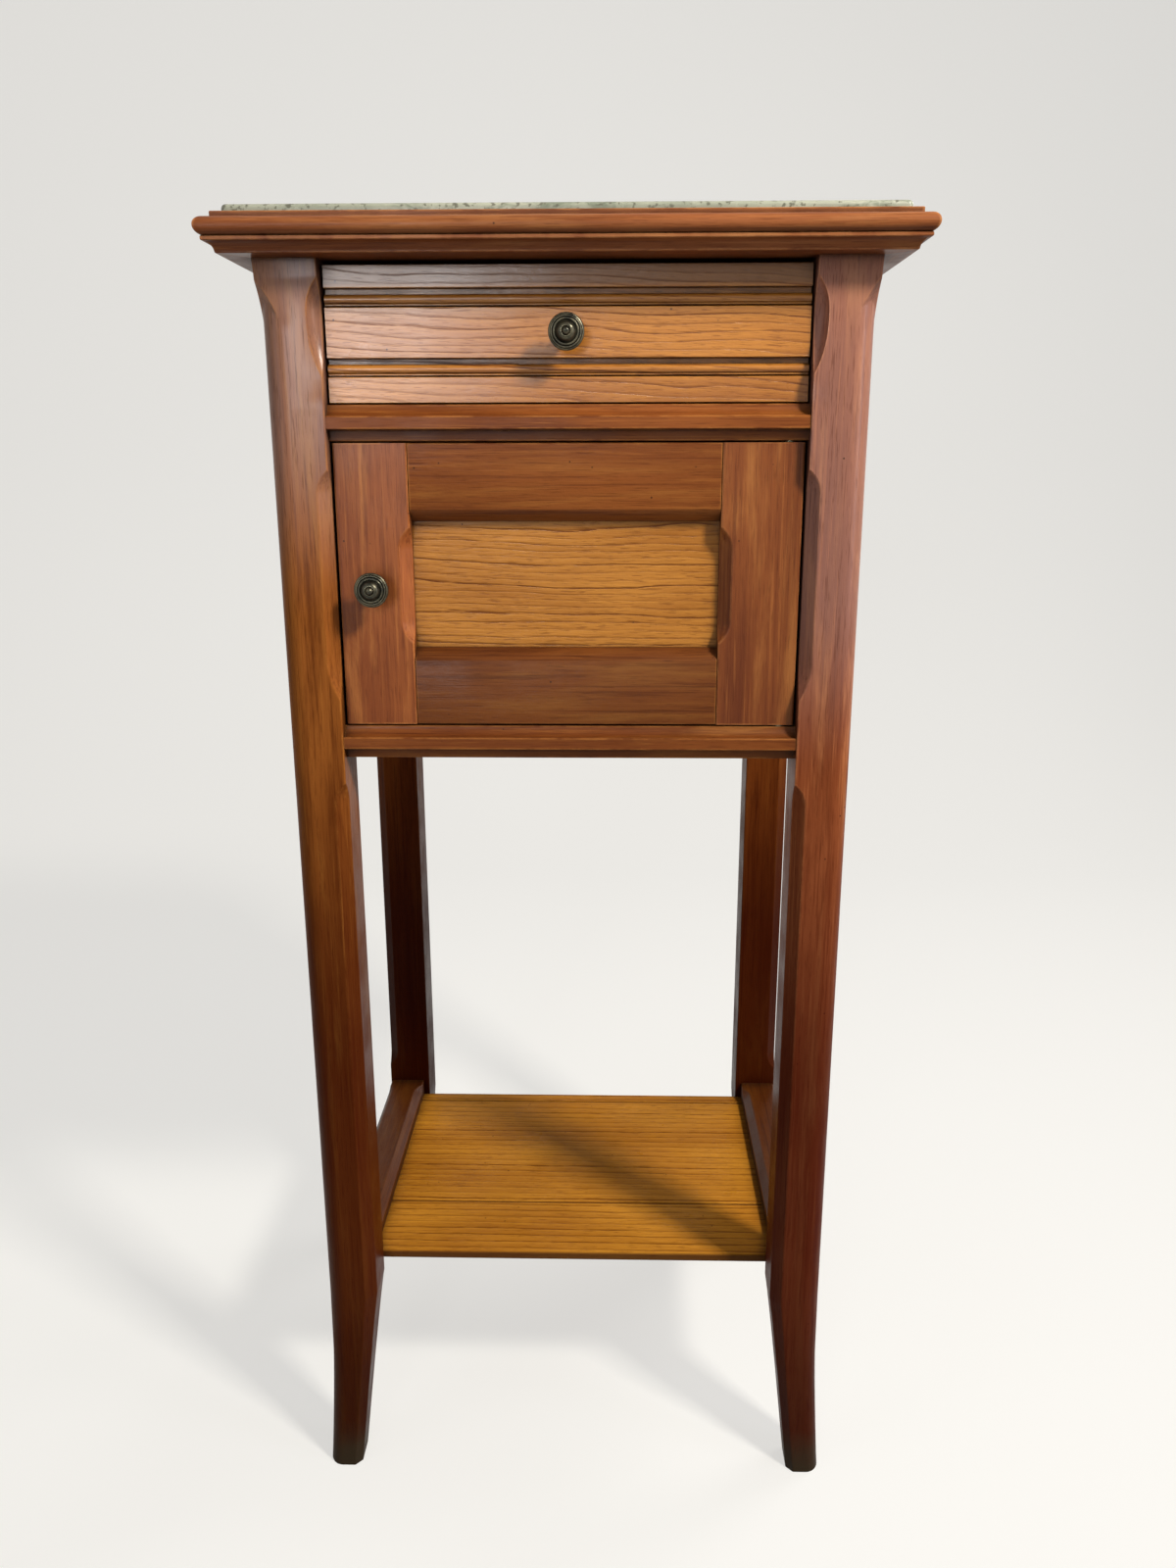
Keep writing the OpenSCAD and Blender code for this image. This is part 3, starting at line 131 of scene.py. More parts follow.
class Finish:
    """A material's node tree, with short ways to add and join nodes."""

    def __init__(self, name):
        self.material = bpy.data.materials.new(name)
        self.material.use_nodes = True
        self.tree = self.material.node_tree
        self.shader = self.tree.nodes["Principled BSDF"]

    def add(self, kind, **settings):
        """Adds a node with its settings."""
        node = self.tree.nodes.new(kind)
        for key, value in settings.items():
            setattr(node, key, value)
        return node

    def join(self, source, target):
        """Links an output to an input."""
        self.tree.links.new(source, target)

    def feed(self, socket, value):
        """Joins a socket to another node's output, or sets it to a plain value."""
        if isinstance(value, bpy.types.NodeSocket):
            self.join(value, socket)
        else:
            socket.default_value = value

    def give(self, name, value):
        """Feeds one input of the material's shader."""
        self.feed(self.shader.inputs[name], value)

    def coords(self, along="X", offset=(0, 0, 0), tilt=(0, 0, 0)):
        """Object coordinates in metres, turned so that the grain runs along X."""
        turn = {"X": (0, 0, 0), "Y": (0, 0, math.radians(-90)), "Z": (0, math.radians(90), 0)}[along]
        first = self.add("ShaderNodeMapping")
        self.join(self.add("ShaderNodeTexCoord").outputs["Object"], first.inputs["Vector"])
        first.inputs["Rotation"].default_value = turn
        second = self.add("ShaderNodeMapping")
        self.join(first.outputs["Vector"], second.inputs["Vector"])
        second.inputs["Location"].default_value = offset
        second.inputs["Rotation"].default_value = [math.radians(t) for t in tilt]
        return second.outputs["Vector"]

    def stretch(self, vector, scale):
        """Coordinates scaled along each axis."""
        node = self.add("ShaderNodeMapping")
        self.join(vector, node.inputs["Vector"])
        node.inputs["Scale"].default_value = scale
        return node.outputs["Vector"]

    def noise(self, vector, scale=1.0, detail=3.0, rough=0.55, distortion=0.0):
        """Noise between 0 and 1, scale turns to the metre."""
        node = self.add("ShaderNodeTexNoise")
        self.join(vector, node.inputs["Vector"])
        node.inputs["Scale"].default_value = scale
        node.inputs["Detail"].default_value = detail
        node.inputs["Roughness"].default_value = rough
        node.inputs["Distortion"].default_value = distortion
        return node.outputs["Fac"]

    def math(self, operation, a, b=0.0, c=0.0, clamp=False):
        """The result of one sum; each number is an output or a plain value."""
        node = self.add("ShaderNodeMath", operation=operation, use_clamp=clamp)
        for socket, value in zip(node.inputs, (a, b, c)):
            self.feed(socket, value)
        return node.outputs[0]

    def span(self, value, low, high, to_low=0.0, to_high=1.0):
        """Maps low..high to to_low..to_high, smoothly and clamped."""
        node = self.add("ShaderNodeMapRange", interpolation_type="SMOOTHSTEP")
        self.feed(node.inputs["Value"], value)
        node.inputs["From Min"].default_value = low
        node.inputs["From Max"].default_value = high
        node.inputs["To Min"].default_value = to_low
        node.inputs["To Max"].default_value = to_high
        return node.outputs["Result"]

    def mix(self, share, a, b):
        """Share 0 gives a and share 1 gives b; each is an output or a plain colour."""
        node = self.add("ShaderNodeMix", data_type="RGBA")
        self.feed(node.inputs["Factor"], share)
        for socket, colour in zip(node.inputs[6:8], (a, b)):
            self.feed(socket, colour if isinstance(colour, bpy.types.NodeSocket) else (*colour, 1.0))
        return node.outputs[2]

    def stain(self, colour, base, *layers):
        """Lays tones of the base colour over a colour; a layer is its share and its red, green and blue."""
        for share, tones in layers:
            colour = self.mix(share, colour, toned(base, *tones))
        return colour

    def scaled(self, value, factor):
        """A value times a factor."""
        return self.math("MULTIPLY", value, factor)

    def patchy(self, mask, place, scale, low, high, least=0.0, most=1.0, detail=4):
        """A mask that comes and goes with noise."""
        return self.math("MULTIPLY", mask,
                         self.span(self.noise(place, scale=scale, detail=detail), low, high, least, most))

    def height(self):
        """Height above the floor, in metres."""
        split = self.add("ShaderNodeSeparateXYZ")
        self.join(self.add("ShaderNodeTexCoord").outputs["Object"], split.inputs[0])
        return split.outputs["Z"]

    def grain(self, place, along, across, detail=3.0, rough=0.55, distortion=0.0):
        """Noise drawn out along the grain; along and across are turns to the metre."""
        return self.noise(self.stretch(place, (along, across, across)), 1.0, detail, rough, distortion)

    def year_rings(self, place, period, wander):
        """Growth rings round the X axis: how far through its year each point is, and a tone for each year."""
        split = self.add("ShaderNodeSeparateXYZ")
        self.join(place, split.inputs[0])
        across = self.math("MULTIPLY", split.outputs["Y"], split.outputs["Y"])
        radius = self.math("SQRT", self.math("MULTIPLY_ADD", split.outputs["Z"], split.outputs["Z"], across))
        slow = self.grain(place, 6, 24, 2)
        quick = self.grain(place, 34, 240, 2)
        radius = self.math("MULTIPLY_ADD", slow, wander, radius)
        radius = self.math("MULTIPLY_ADD", quick, 0.0016, radius)
        years = self.math("DIVIDE", radius, period)
        tone = self.add("ShaderNodeTexWhiteNoise", noise_dimensions="1D")
        self.join(self.math("FLOOR", years), tone.inputs["W"])
        return self.math("FRACT", years), tone.outputs["Value"]

    def pinholes(self, place):
        """1 in small scattered holes and dark spots, 0 elsewhere."""
        cells = self.add("ShaderNodeTexVoronoi", feature="F1")
        self.join(place, cells.inputs["Vector"])
        cells.inputs["Scale"].default_value = 95.0
        spots = self.span(cells.outputs["Distance"], 0.070, 0.035)
        return self.math("MULTIPLY", spots, self.span(self.noise(place, scale=9, detail=1), 0.50, 0.56))

    def worn_edges(self, radius):
        """1 on the arrises of a piece and 0 on its faces."""
        bevel = self.add("ShaderNodeBevel", samples=4)
        bevel.inputs["Radius"].default_value = radius
        dot = self.add("ShaderNodeVectorMath", operation="DOT_PRODUCT")
        self.join(bevel.outputs["Normal"], dot.inputs[0])
        self.join(self.add("ShaderNodeNewGeometry").outputs["Normal"], dot.inputs[1])
        return self.span(dot.outputs["Value"], 0.995, 0.90)

    def recesses(self, distance):
        """1 in corners and under ledges, 0 in the open."""
        shade = self.add("ShaderNodeAmbientOcclusion", samples=4)
        shade.inputs["Distance"].default_value = distance
        return self.span(shade.outputs["AO"], 0.92, 0.42)

    def bump(self, height, strength, distance):
        """Roughens the surface; a height of 1 stands the distance proud, in metres."""
        node = self.add("ShaderNodeBump")
        node.inputs["Strength"].default_value = strength
        node.inputs["Distance"].default_value = distance
        self.join(height, node.inputs["Height"])
        self.join(node.outputs["Normal"], self.shader.inputs["Normal"])


# Heights in metres over which the painted sheen on a leg and the painted shadow on the drawer come in
SHEEN_RISE, SHADOW_RISE = 0.12, 0.003


def tint(colour, factor):
    """A colour made lighter or darker."""
    return tuple(min(1.0, c * factor) for c in colour)


def toned(colour, red, green, blue):
    """A colour with each of its channels made lighter or darker."""
    return (min(1.0, colour[0] * red), min(1.0, colour[1] * green), min(1.0, colour[2] * blue))


def polished_hardwood(name, along, offset=(0, 0, 0), tone=1.0, hue=(1, 1, 1), bloom=None, polish=0.05):
    """Reddish-brown close-grained wood under old polish: smoky and golden in turns, worn on its edges.

    A leg is given a height in metres above which a pale sheen is painted into its colour and its coat
    thickens; below it the colour is painted darker down the leg, as shade."""
    f = Finish(name)
    base = toned(tint(colours().hardwood, tone), *hue)
    place = f.coords(along, offset)
    cloud = f.grain(place, 3.2, 10, 4)
    flame = f.grain(place, 6, 55, 5, 0.6, 0.5)
    lines = f.grain(place, 9, 420, 3, 0.7)
    ticks = f.grain(place, 60, 1500, 2, 0.6)
    wood = f.mix(f.span(cloud, 0.34, 0.66), toned(base, 0.66, 0.58, 0.50), toned(base, 1.22, 1.26, 1.20))
    wood = f.stain(
        wood, base,
        (f.span(flame, 0.50, 0.74, 0.0, 0.66), (1.80, 2.45, 2.40)),     # golden flames
        (f.span(flame, 0.47, 0.27, 0.0, 0.70), (0.44, 0.34, 0.30)),     # smoky flames
        (f.span(lines, 0.53, 0.66, 0.0, 0.50), (0.40, 0.28, 0.24)),     # dark streaks
        (f.span(lines, 0.46, 0.32, 0.0, 0.40), (1.65, 2.00, 1.90)))     # pale streaks
    # Painted sheen: above the given height the colour turns pale pink-brown, standing in for window light
    # reflected on the leg's upper part; the coat also thickens there
    if bloom:
        height = f.height()
        wood = f.mix(f.span(height, bloom, bloom + SHEEN_RISE, 0.0, 0.24), wood, (0.46, 0.30, 0.27))
        polish = f.span(height, bloom, bloom + SHEEN_RISE, 0.0, 0.42)
    rubbed = f.patchy(f.worn_edges(0.0017), place, 70, 0.36, 0.58, detail=3)
    wood = f.stain(
        wood, base,
        (f.span(ticks, 0.56, 0.66, 0.0, 0.36), (0.22, 0.13, 0.09)),     # pores
        (f.scaled(rubbed, 0.75), (2.2, 3.0, 3.2)))                      # edges rubbed pale
    # Partly dirt, partly painted shade: corners, creases and the undersides of ledges are darkened, in
    # patches with noise and evenly in the tightest creases
    dirt_and_shade = f.patchy(f.recesses(0.016), place, 40, 0.25, 0.7, 0.72, 1.0)
    dirt_and_shade = f.math("MAXIMUM", dirt_and_shade, f.scaled(f.recesses(0.0045), 0.9))
    wood = f.mix(f.scaled(dirt_and_shade, 0.94), wood, (0.013, 0.005, 0.002))
    wood = f.mix(f.scaled(f.pinholes(place), 0.85), wood, (0.010, 0.005, 0.003))
    # Painted shade: down the leg the colour is made darker towards the shelf and again towards the foot,
    # where the light falls off; at the very foot it turns darker and greyer
    if bloom:
        rise = f.math("ADD", height, f.scaled(f.noise(place, scale=35, detail=4), 0.03))
        wood = f.stain(
            wood, base,
            (f.span(rise, 0.56, 0.32, 0.0, 0.78), (0.17, 0.03, 0.01)),      # darker towards the shelf
            (f.span(rise, 0.20, 0.05, 0.0, 0.55), (0.05, 0.015, 0.01)))     # and again towards the foot
        wood = f.mix(f.span(rise, 0.052, 0.018, 0.0, 0.85), wood, (0.040, 0.030, 0.017))
    f.give("Base Color", wood)
    f.give("Roughness", f.math("ADD", f.span(f.noise(place, scale=28, detail=5), 0.3, 0.75, 0.30, 0.50),
                               f.scaled(f.math("ADD", rubbed, dirt_and_shade), 0.16)))
    coat_share = f.math("SUBTRACT", 1.0, f.math("MAXIMUM", dirt_and_shade, f.span(ticks, 0.56, 0.66, 0.0, 0.3)), clamp=True)
    f.give("Coat Weight", f.math("MULTIPLY", coat_share, polish))
    f.give("Coat Roughness", 0.25)
    f.give("Specular IOR Level", 0.03 if bloom else 0.13)
    relief = f.math("MULTIPLY_ADD", ticks, -0.7, f.scaled(lines, -0.5))
    f.bump(f.math("MULTIPLY_ADD", f.noise(place, scale=190, detail=4), 1.1, relief), 0.40, 0.0004)
    return f.material


def golden_ash(name, along, offset=(0, 0, 0), tilt=(0, 0, 0), period=0.0045, tone=1.0, hue=(1, 1, 1),
               wander=0.018, gloss=0.08, shine=0.18, dark_front=False, smoky_above=None):
    """Open-grained golden wood whose growth rings show as broken dark lines.

    The offset places the tree's heart, which lies along X through the origin of the turned coordinates.
    A board with a dark front is darker on its front-facing faces; a height in metres may be given above which
    a painted shadow darkens and cools the face."""
    f = Finish(name)
    base = toned(tint(colours().ash, tone), *hue)
    place = f.coords(along, offset, tilt)
    year, year_tone = f.year_rings(place, period, wander)
    dashes = f.grain(place, 60, 700, 3, 0.6)
    ticks = f.grain(place, 90, 1300, 2, 0.6)
    fibre = f.grain(place, 30, 700, 4, 0.65)
    cloud = f.grain(place, 5, 16, 4)
    early = f.math("MULTIPLY", f.span(year, 0.32, 0.04), f.span(dashes, 0.34, 0.52, 0.25, 1.0))
    early = f.math("MULTIPLY", early, f.span(year_tone, 0.0, 1.0, 0.30, 1.0))
    pores = f.span(ticks, 0.56, 0.66, 0.0, 0.45)
    rubbed = f.patchy(f.worn_edges(0.0010), place, 60, 0.40, 0.62, detail=3)
    wood = f.mix(f.span(cloud, 0.34, 0.66), toned(base, 0.78, 0.72, 0.62), toned(base, 1.18, 1.24, 1.25))
    wood = f.stain(
        wood, base,
        (f.span(year, 0.45, 1.0, 0.0, 0.40), (1.22, 1.34, 1.40)),       # late wood of each year
        (f.span(fibre, 0.34, 0.70, 0.36, 0.0), (0.58, 0.48, 0.38)),     # fibres
        (f.scaled(early, 0.95), (0.24, 0.14, 0.10)),                    # open early wood
        (pores, (0.24, 0.14, 0.10)),
        (f.scaled(rubbed, 0.45), (1.5, 1.8, 2.2)))                      # edges rubbed pale
    # Partly dirt, partly painted shade: corners and the undersides of ledges are darkened, in patches with
    # noise
    dirt_and_shade = f.patchy(f.recesses(0.011), place, 45, 0.25, 0.7, 0.65, 1.0)
    wood = f.mix(f.scaled(dirt_and_shade, 0.90), wood, (0.018, 0.007, 0.003))
    wood = f.mix(f.scaled(f.pinholes(place), 0.80), wood, (0.016, 0.007, 0.004))
    if dark_front:
        facing = f.add("ShaderNodeSeparateXYZ")
        f.join(f.add("ShaderNodeNewGeometry").outputs["Normal"], facing.inputs[0])
        wood = f.mix(f.span(facing.outputs["Y"], -0.4, -0.9, 0.0, 0.82), wood, (0.050, 0.014, 0.006))
    # Painted shadow: above the given height the face is darkened and cooled, where the frame's overhang would
    # shade it
    if smoky_above:
        wood = f.stain(wood, base, (f.span(f.height(), smoky_above, smoky_above + SHADOW_RISE, 0.0, 0.62),
                                    (0.22, 0.24, 0.34)))
    f.give("Base Color", wood)
    f.give("Roughness", f.math("ADD", f.span(f.noise(place, scale=22, detail=5), 0.3, 0.75, 0.26, 0.44),
                               f.scaled(early, 0.16)))
    coat_share = f.math("SUBTRACT", 1.0, f.math("MAXIMUM", f.math("MAXIMUM", dirt_and_shade, early), pores), clamp=True)
    if gloss:
        f.give("Coat Weight", f.scaled(coat_share, gloss))
    f.give("Coat Roughness", 0.20)
    f.give("Specular IOR Level", shine)
    relief = f.math("MULTIPLY_ADD", early, -1.0, f.scaled(ticks, -0.8))
    f.bump(f.math("MULTIPLY_ADD", f.noise(place, scale=170, detail=4), 1.0, relief), 0.42, 0.0005)
    return f.material


def bare_softwood(name, along, offset=(0, 0, 0), tone=1.0):
    """Unpolished pale wood inside the case, with its growth lines, and painted shade in its corners."""
    f = Finish(name)
    base = tint(colours().softwood, tone)
    place = f.coords(along, offset, (0, 2, 3))
    year, year_tone = f.year_rings(place, 0.0042, 0.016)
    fibre = f.grain(place, 30, 800, 4, 0.65)
    cloud = f.grain(place, 5, 16, 4)
    late = f.math("MULTIPLY", f.span(year, 0.55, 0.98), f.span(year_tone, 0.0, 1.0, 0.35, 0.75))
    wood = f.mix(f.span(cloud, 0.3, 0.7), toned(base, 0.75, 0.70, 0.62), toned(base, 1.18, 1.20, 1.22))
    wood = f.stain(wood, base, (late, (0.62, 0.46, 0.32)),
                   (f.span(fibre, 0.3, 0.7, 0.28, 0.0), (0.6, 0.5, 0.42)))
    # Painted shade: corners and recesses are darkened evenly
    f.give("Base Color", f.mix(f.scaled(f.recesses(0.02), 0.6), wood, (0.09, 0.06, 0.04)))
    f.give("Roughness", f.span(fibre, 0.3, 0.7, 0.62, 0.80))
    f.bump(fibre, 0.35, 0.0003)
    return f.material


def veined_marble(name):
    """Grey-green polished stone with cloudy veins, and dirt and painted shade in its corners and along its
    edges.
    """
    f = Finish(name)
    base = tuple(colours().marble)
    place = f.coords("X")
    warp = f.add("ShaderNodeTexNoise")
    f.join(place, warp.inputs["Vector"])
    warp.inputs["Scale"].default_value = 9.0
    warp.inputs["Detail"].default_value = 5.0
    bent = f.add("ShaderNodeVectorMath", operation="MULTIPLY_ADD")
    f.join(warp.outputs["Color"], bent.inputs[0])
    bent.inputs[1].default_value = (0.11, 0.11, 0.11)
    f.join(place, bent.inputs[2])

    def veins(noise, width):
        """1 along the lines where the noise crosses its middle."""
        return f.span(f.math("ABSOLUTE", f.math("SUBTRACT", noise, 0.5)), width, 0.0)

    cloud = f.noise(bent.outputs[0], scale=7, detail=7, rough=0.6)
    ridge = f.noise(f.stretch(bent.outputs[0], (9, 21, 14)), detail=5, rough=0.55)
    fine = f.noise(bent.outputs[0], scale=38, detail=6, rough=0.6)
    stone = f.mix(f.span(cloud, 0.32, 0.68), toned(base, 0.62, 0.66, 0.62), toned(base, 1.16, 1.14, 1.14))
    stone = f.stain(
        stone, base,
        (f.scaled(veins(ridge, 0.028), 0.65), (0.36, 0.42, 0.36)),      # dark veins
        (f.scaled(veins(fine, 0.012), 0.30), (1.45, 1.42, 1.40)))       # pale threads
    # Partly dirt, partly painted shade: the stone is darkened in its corners and where it meets the frame, in
    # patches with noise
    soil_and_shade = f.patchy(f.recesses(0.016), place, 55, 0.35, 0.65, 0.5, 1.0)
    stone = f.mix(f.scaled(soil_and_shade, 0.75), stone, (0.070, 0.060, 0.035))
    specks = f.span(f.noise(place, scale=330, detail=2), 0.56, 0.66, 0.0, 0.8)
    f.give("Base Color", f.mix(specks, stone, (0.09, 0.085, 0.055)))
    f.give("Roughness", f.span(f.noise(place, scale=30, detail=5), 0.3, 0.7, 0.20, 0.36))
    f.give("Specular IOR Level", 0.5)
    f.bump(f.noise(place, scale=90, detail=5), 0.08, 0.0004)
    return f.material


def aged_brass(name, polish=0.0):
    """Dark turned brass, bright where hands rub the rings."""
    f = Finish(name)
    base = tuple(colours().brass)
    place = f.coords("X")
    blotch = f.noise(place, scale=230, detail=5, rough=0.6)
    worn = f.patchy(f.worn_edges(0.0006), place, 160, 0.30, 0.62, 0.35, 1.0, detail=3)
    deep = f.recesses(0.004)
    metal = f.mix(f.span(blotch, 0.35, 0.68), toned(base, 0.18, 0.20, 0.24), toned(base, 0.55, 0.54, 0.52))
    metal = f.stain(metal, base, (f.math("ADD", f.scaled(worn, 0.85), polish, clamp=True), (2.0, 1.9, 1.75)))
    f.give("Base Color", f.mix(f.scaled(deep, 0.92), metal, (0.008, 0.008, 0.006)))
    f.give("Metallic", 0.92)
    f.give("Roughness", f.math("ADD", f.span(blotch, 0.3, 0.7, 0.26, 0.44), f.scaled(deep, 0.25)))
    f.bump(blotch, 0.25, 0.00015)
    return f.material


def plain_steel(name):
    """Screws, spring and ball: dull steel with a little tarnish."""
    f = Finish(name)
    spots = f.noise(f.coords("X"), scale=420, detail=4)
    f.give("Base Color", f.mix(f.span(spots, 0.4, 0.7), (0.42, 0.42, 0.43), (0.26, 0.22, 0.19)))
    f.give("Metallic", 0.95)
    f.give("Roughness", f.span(spots, 0.3, 0.7, 0.26, 0.48))
    f.bump(spots, 0.15, 0.0001)
    return f.material


finishes = {}


def finish(name, maker, *args, **settings):
    """Makes a finish once and hands it out after that."""
    if name not in finishes:
        finishes[name] = maker(name, *args, **settings)
    return finishes[name]


# ------------------------------------------------------------------ mesh helpers

def to_piece(name, body, material, shape, node, angle=BOARD_ANGLE):
    """Makes an object from points in millimetres, and seats it in the frame in its node's place."""
    points, faces = shape
    mesh = bpy.data.meshes.new(name)
    build = bmesh.new()
    verts = [build.verts.new(Vector(p) * MM) for p in points]
    for face in faces:
        build.faces.new([verts[i] for i in face])
    bmesh.ops.remove_doubles(build, verts=build.verts, dist=1e-6)
    bmesh.ops.recalc_face_normals(build, faces=build.faces)
    build.to_mesh(mesh)
    build.free()
    mesh.shade_smooth()
    mesh.set_sharp_from_angle(angle=math.radians(angle))
    mesh.materials.append(material)
    piece = bpy.data.objects.new(name, mesh)
    bpy.context.scene.collection.objects.link(piece)
    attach(piece, body)
    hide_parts(node)
    return piece


def loft(rings):
    """Points and faces of a closed body through rings of equally many points."""
    count = len(rings[0])
    points = [p for ring in rings for p in ring]
    faces = []
    for i in range(len(rings) - 1):
        for j in range(count):
            k = (j + 1) % count
            faces.append((i * count + j, i * count + k, (i + 1) * count + k, (i + 1) * count + j))
    faces.append(tuple(range(count))[::-1])
    last = (len(rings) - 1) * count
    faces.append(tuple(range(last, last + count)))
    return points, faces


def along_axis(axis, t, p):
    """The point at t on an axis, with p as its two other coordinates."""
    return {"X": (t, p[0], p[1]), "Y": (p[0], t, p[1]), "Z": (p[0], p[1], t)}[axis]


SWEEP_GAP, BOARD_GAP = 40, 30           # distance between the rings of a swept section and of a board
LEAST_GAP = 0.6                         # and the least between two rings of a leg, stile or stretcher
BLUNT_ANGLE = 150                       # a section's corner stays as it is where it is blunter than this


def sweep(section, low, high, axis):
    """Closed body of a section along one axis. The section holds the two other coordinates."""
    steps = max(2, int((high - low) / SWEEP_GAP) + 1)
    return loft([[along_axis(axis, low + (high - low) * i / steps, p) for p in section]
                 for i in range(steps + 1)])


def eased(section, ease):
    """Cuts each sharp corner of a section back a little."""
    done = []
    for i, spot in enumerate(section):
        here = Vector(spot)
        back, on = Vector(section[i - 1]) - here, Vector(section[(i + 1) % len(section)]) - here
        if math.degrees(back.angle(on)) > BLUNT_ANGLE:
            done.append(spot)
        else:
            done += [tuple(here + way.normalized() * min(ease, way.length * 0.45)) for way in (back, on)]
    return done


def arc(cx, cy, r, start, end, count):
    """Points on an arc from start to end, in degrees."""
    return [(cx + r * math.cos(math.radians(start + (end - start) * i / count)),
             cy + r * math.sin(math.radians(start + (end - start) * i / count))) for i in range(count + 1)]


NO_CUT = -99.0                          # depth of a cut where there is none


def stopped_depth(t, length, depth, stop_low, stop_high):
    """Depth of a stopped cut at a distance from its lower end; NO_CUT or below zero outside the wood."""
    def run(s, stop):
        """Depth at a distance from one end, where the cut runs out over the stop's length."""
        if stop <= 0:
            return depth if s >= 0 else NO_CUT
        if s >= stop:
            return depth
        r = (stop * stop + depth * depth) / (2 * depth)
        inside = r * r - (stop - s) ** 2
        return depth - r + math.sqrt(inside) if inside > 0 else NO_CUT

    return min(run(t, stop_low), run(length - t, stop_high))


def plain_depth(*cut):
    """Depth of a stopped cut, with 0 where there is none."""
    depth = stopped_depth(*cut)
    return depth if depth > NO_CUT / 2 else 0.0


ROUND_STEPS, HOLLOW_STEPS = 16, 8       # points round a leg's outer corner and across its inner cuts


def corner_ring(box, depths, ease, radius=0.0, hollow=None):
    """Ring round a box, its four corners cut to the given depths.

    A radius rounds the first corner. Hollow is the distance of a hollow cut's axis outside the second
    corner; 0 there gives a flat cut with as many points."""
    a0, b0, a1, b1 = box
    corners = (((a0, b0), (0, 1), (1, 0)), ((a1, b0), (-1, 0), (0, 1)),
               ((a1, b1), (0, -1), (-1, 0)), ((a0, b1), (1, 0), (0, -1)))
    ring = []
    for index, ((ca, cb), back, on) in enumerate(corners):
        d = max(depths[index], ease * 1.05)
        if index == 1 and hollow:
            reach = d + hollow
            half = (math.sqrt(2 * reach * reach - hollow * hollow) - hollow) / 2
            spots = [(half + ease, -(half + ease))]
            for i in range(HOLLOW_STEPS + 1):
                s = (half - ease * 0.3) * (2.0 * i / HOLLOW_STEPS - 1.0)
                spots.append((math.sqrt(reach * reach - s * s) - hollow, s))
            spots.append((half + ease, half + ease))
        elif index == 1 and hollow is not None:
            spots = [(d + ease, -(d + ease))]
            spots += [(d, (d - ease) * (2.0 * i / HOLLOW_STEPS - 1.0)) for i in range(HOLLOW_STEPS + 1)]
            spots.append((d + ease, d + ease))
        elif index == 0 and radius:
            spots = [(d + ease, -(d + ease))]
            for i in range(ROUND_STEPS + 1):
                s = (d - ease * 0.5) * (2.0 * i / ROUND_STEPS - 1.0)
                bow = SQRT2 * radius - math.sqrt(max(radius * radius - s * s, 0.0))
                spots.append((max(abs(s), min(bow, d)), s))
            spots.append((d + ease, d + ease))
        else:
            spots = [(d + ease, -(d + ease)), (d, -(d - ease)), (d, d - ease), (d + ease, d + ease)]
        for u, s in spots:
            p, q = (u - s) / SQRT2, (u + s) / SQRT2
            ring.append((ca + back[0] * p + on[0] * q, cb + back[1] * p + on[1] * q))
    return ring


def levels(low, high, coarse, marks, fine=1.6, reach=2.0):
    """Places from low to high, coarse steps apart and fine steps apart in the marked stretches."""
    heights = {round(low, 3), round(high, 3)}
    count = max(1, int((high - low) / coarse))
    heights.update(round(low + (high - low) * i / count, 3) for i in range(count + 1))
    for start, end in marks:
        t = start - reach
        while t <= end + reach:
            if low < t < high:
                heights.add(round(t, 3))
            t += fine
    ordered = sorted(heights)
    kept = [ordered[0]]
    for z in ordered[1:-1]:
        if min(z - kept[-1], ordered[-1] - z) >= LEAST_GAP:
            kept.append(z)
    return kept + [ordered[-1]]


def eased_board(name, node, body, material, axis="X", ease=None, ends=None):
    """A straight board in its node's place, every edge eased; ends cuts off the tenons that joints hide."""
    lo, hi = corners_mm(node)
    ease = ease or sizes().edge / MM
    run = "XYZ".index(axis)
    a, b = ends or (lo[run], hi[run])
    p, q = (i for i in range(3) if i != run)
    box = (lo[p], lo[q], hi[p], hi[q])
    back = ease * 0.7
    inner = (box[0] + back, box[1] + back, box[2] - back, box[3] - back)
    steps = max(3, int((b - a) / BOARD_GAP))
    spots = [(a, inner), (a + back, box)]
    spots += [(a + (b - a) * i / steps, box) for i in range(1, steps)]
    spots += [(b - back, box), (b, inner)]
    rings = [[along_axis(axis, t, spot) for spot in corner_ring(around, [ease * 1.1] * 4, ease * 0.45)]
             for t, around in spots]
    return to_piece(name, body, material, loft(rings), node)


def loose_parts(mesh):
    """The separate bodies of a mesh, each as a list of its points."""
    build = bmesh.new()
    build.from_mesh(mesh)
    bmesh.ops.remove_doubles(build, verts=build.verts, dist=1e-6)
    unseen, parts = set(build.verts), []
    for start in build.verts:
        if start in unseen:
            unseen.discard(start)
            part, edge = [start], [start]
            while edge:
                near = [e.other_vert(v) for v in edge for e in v.link_edges]
                edge = list(dict.fromkeys(v for v in near if v in unseen))
                unseen.difference_update(edge)
                part += edge
            parts.append([v.co.copy() for v in part])
    build.free()
    return parts


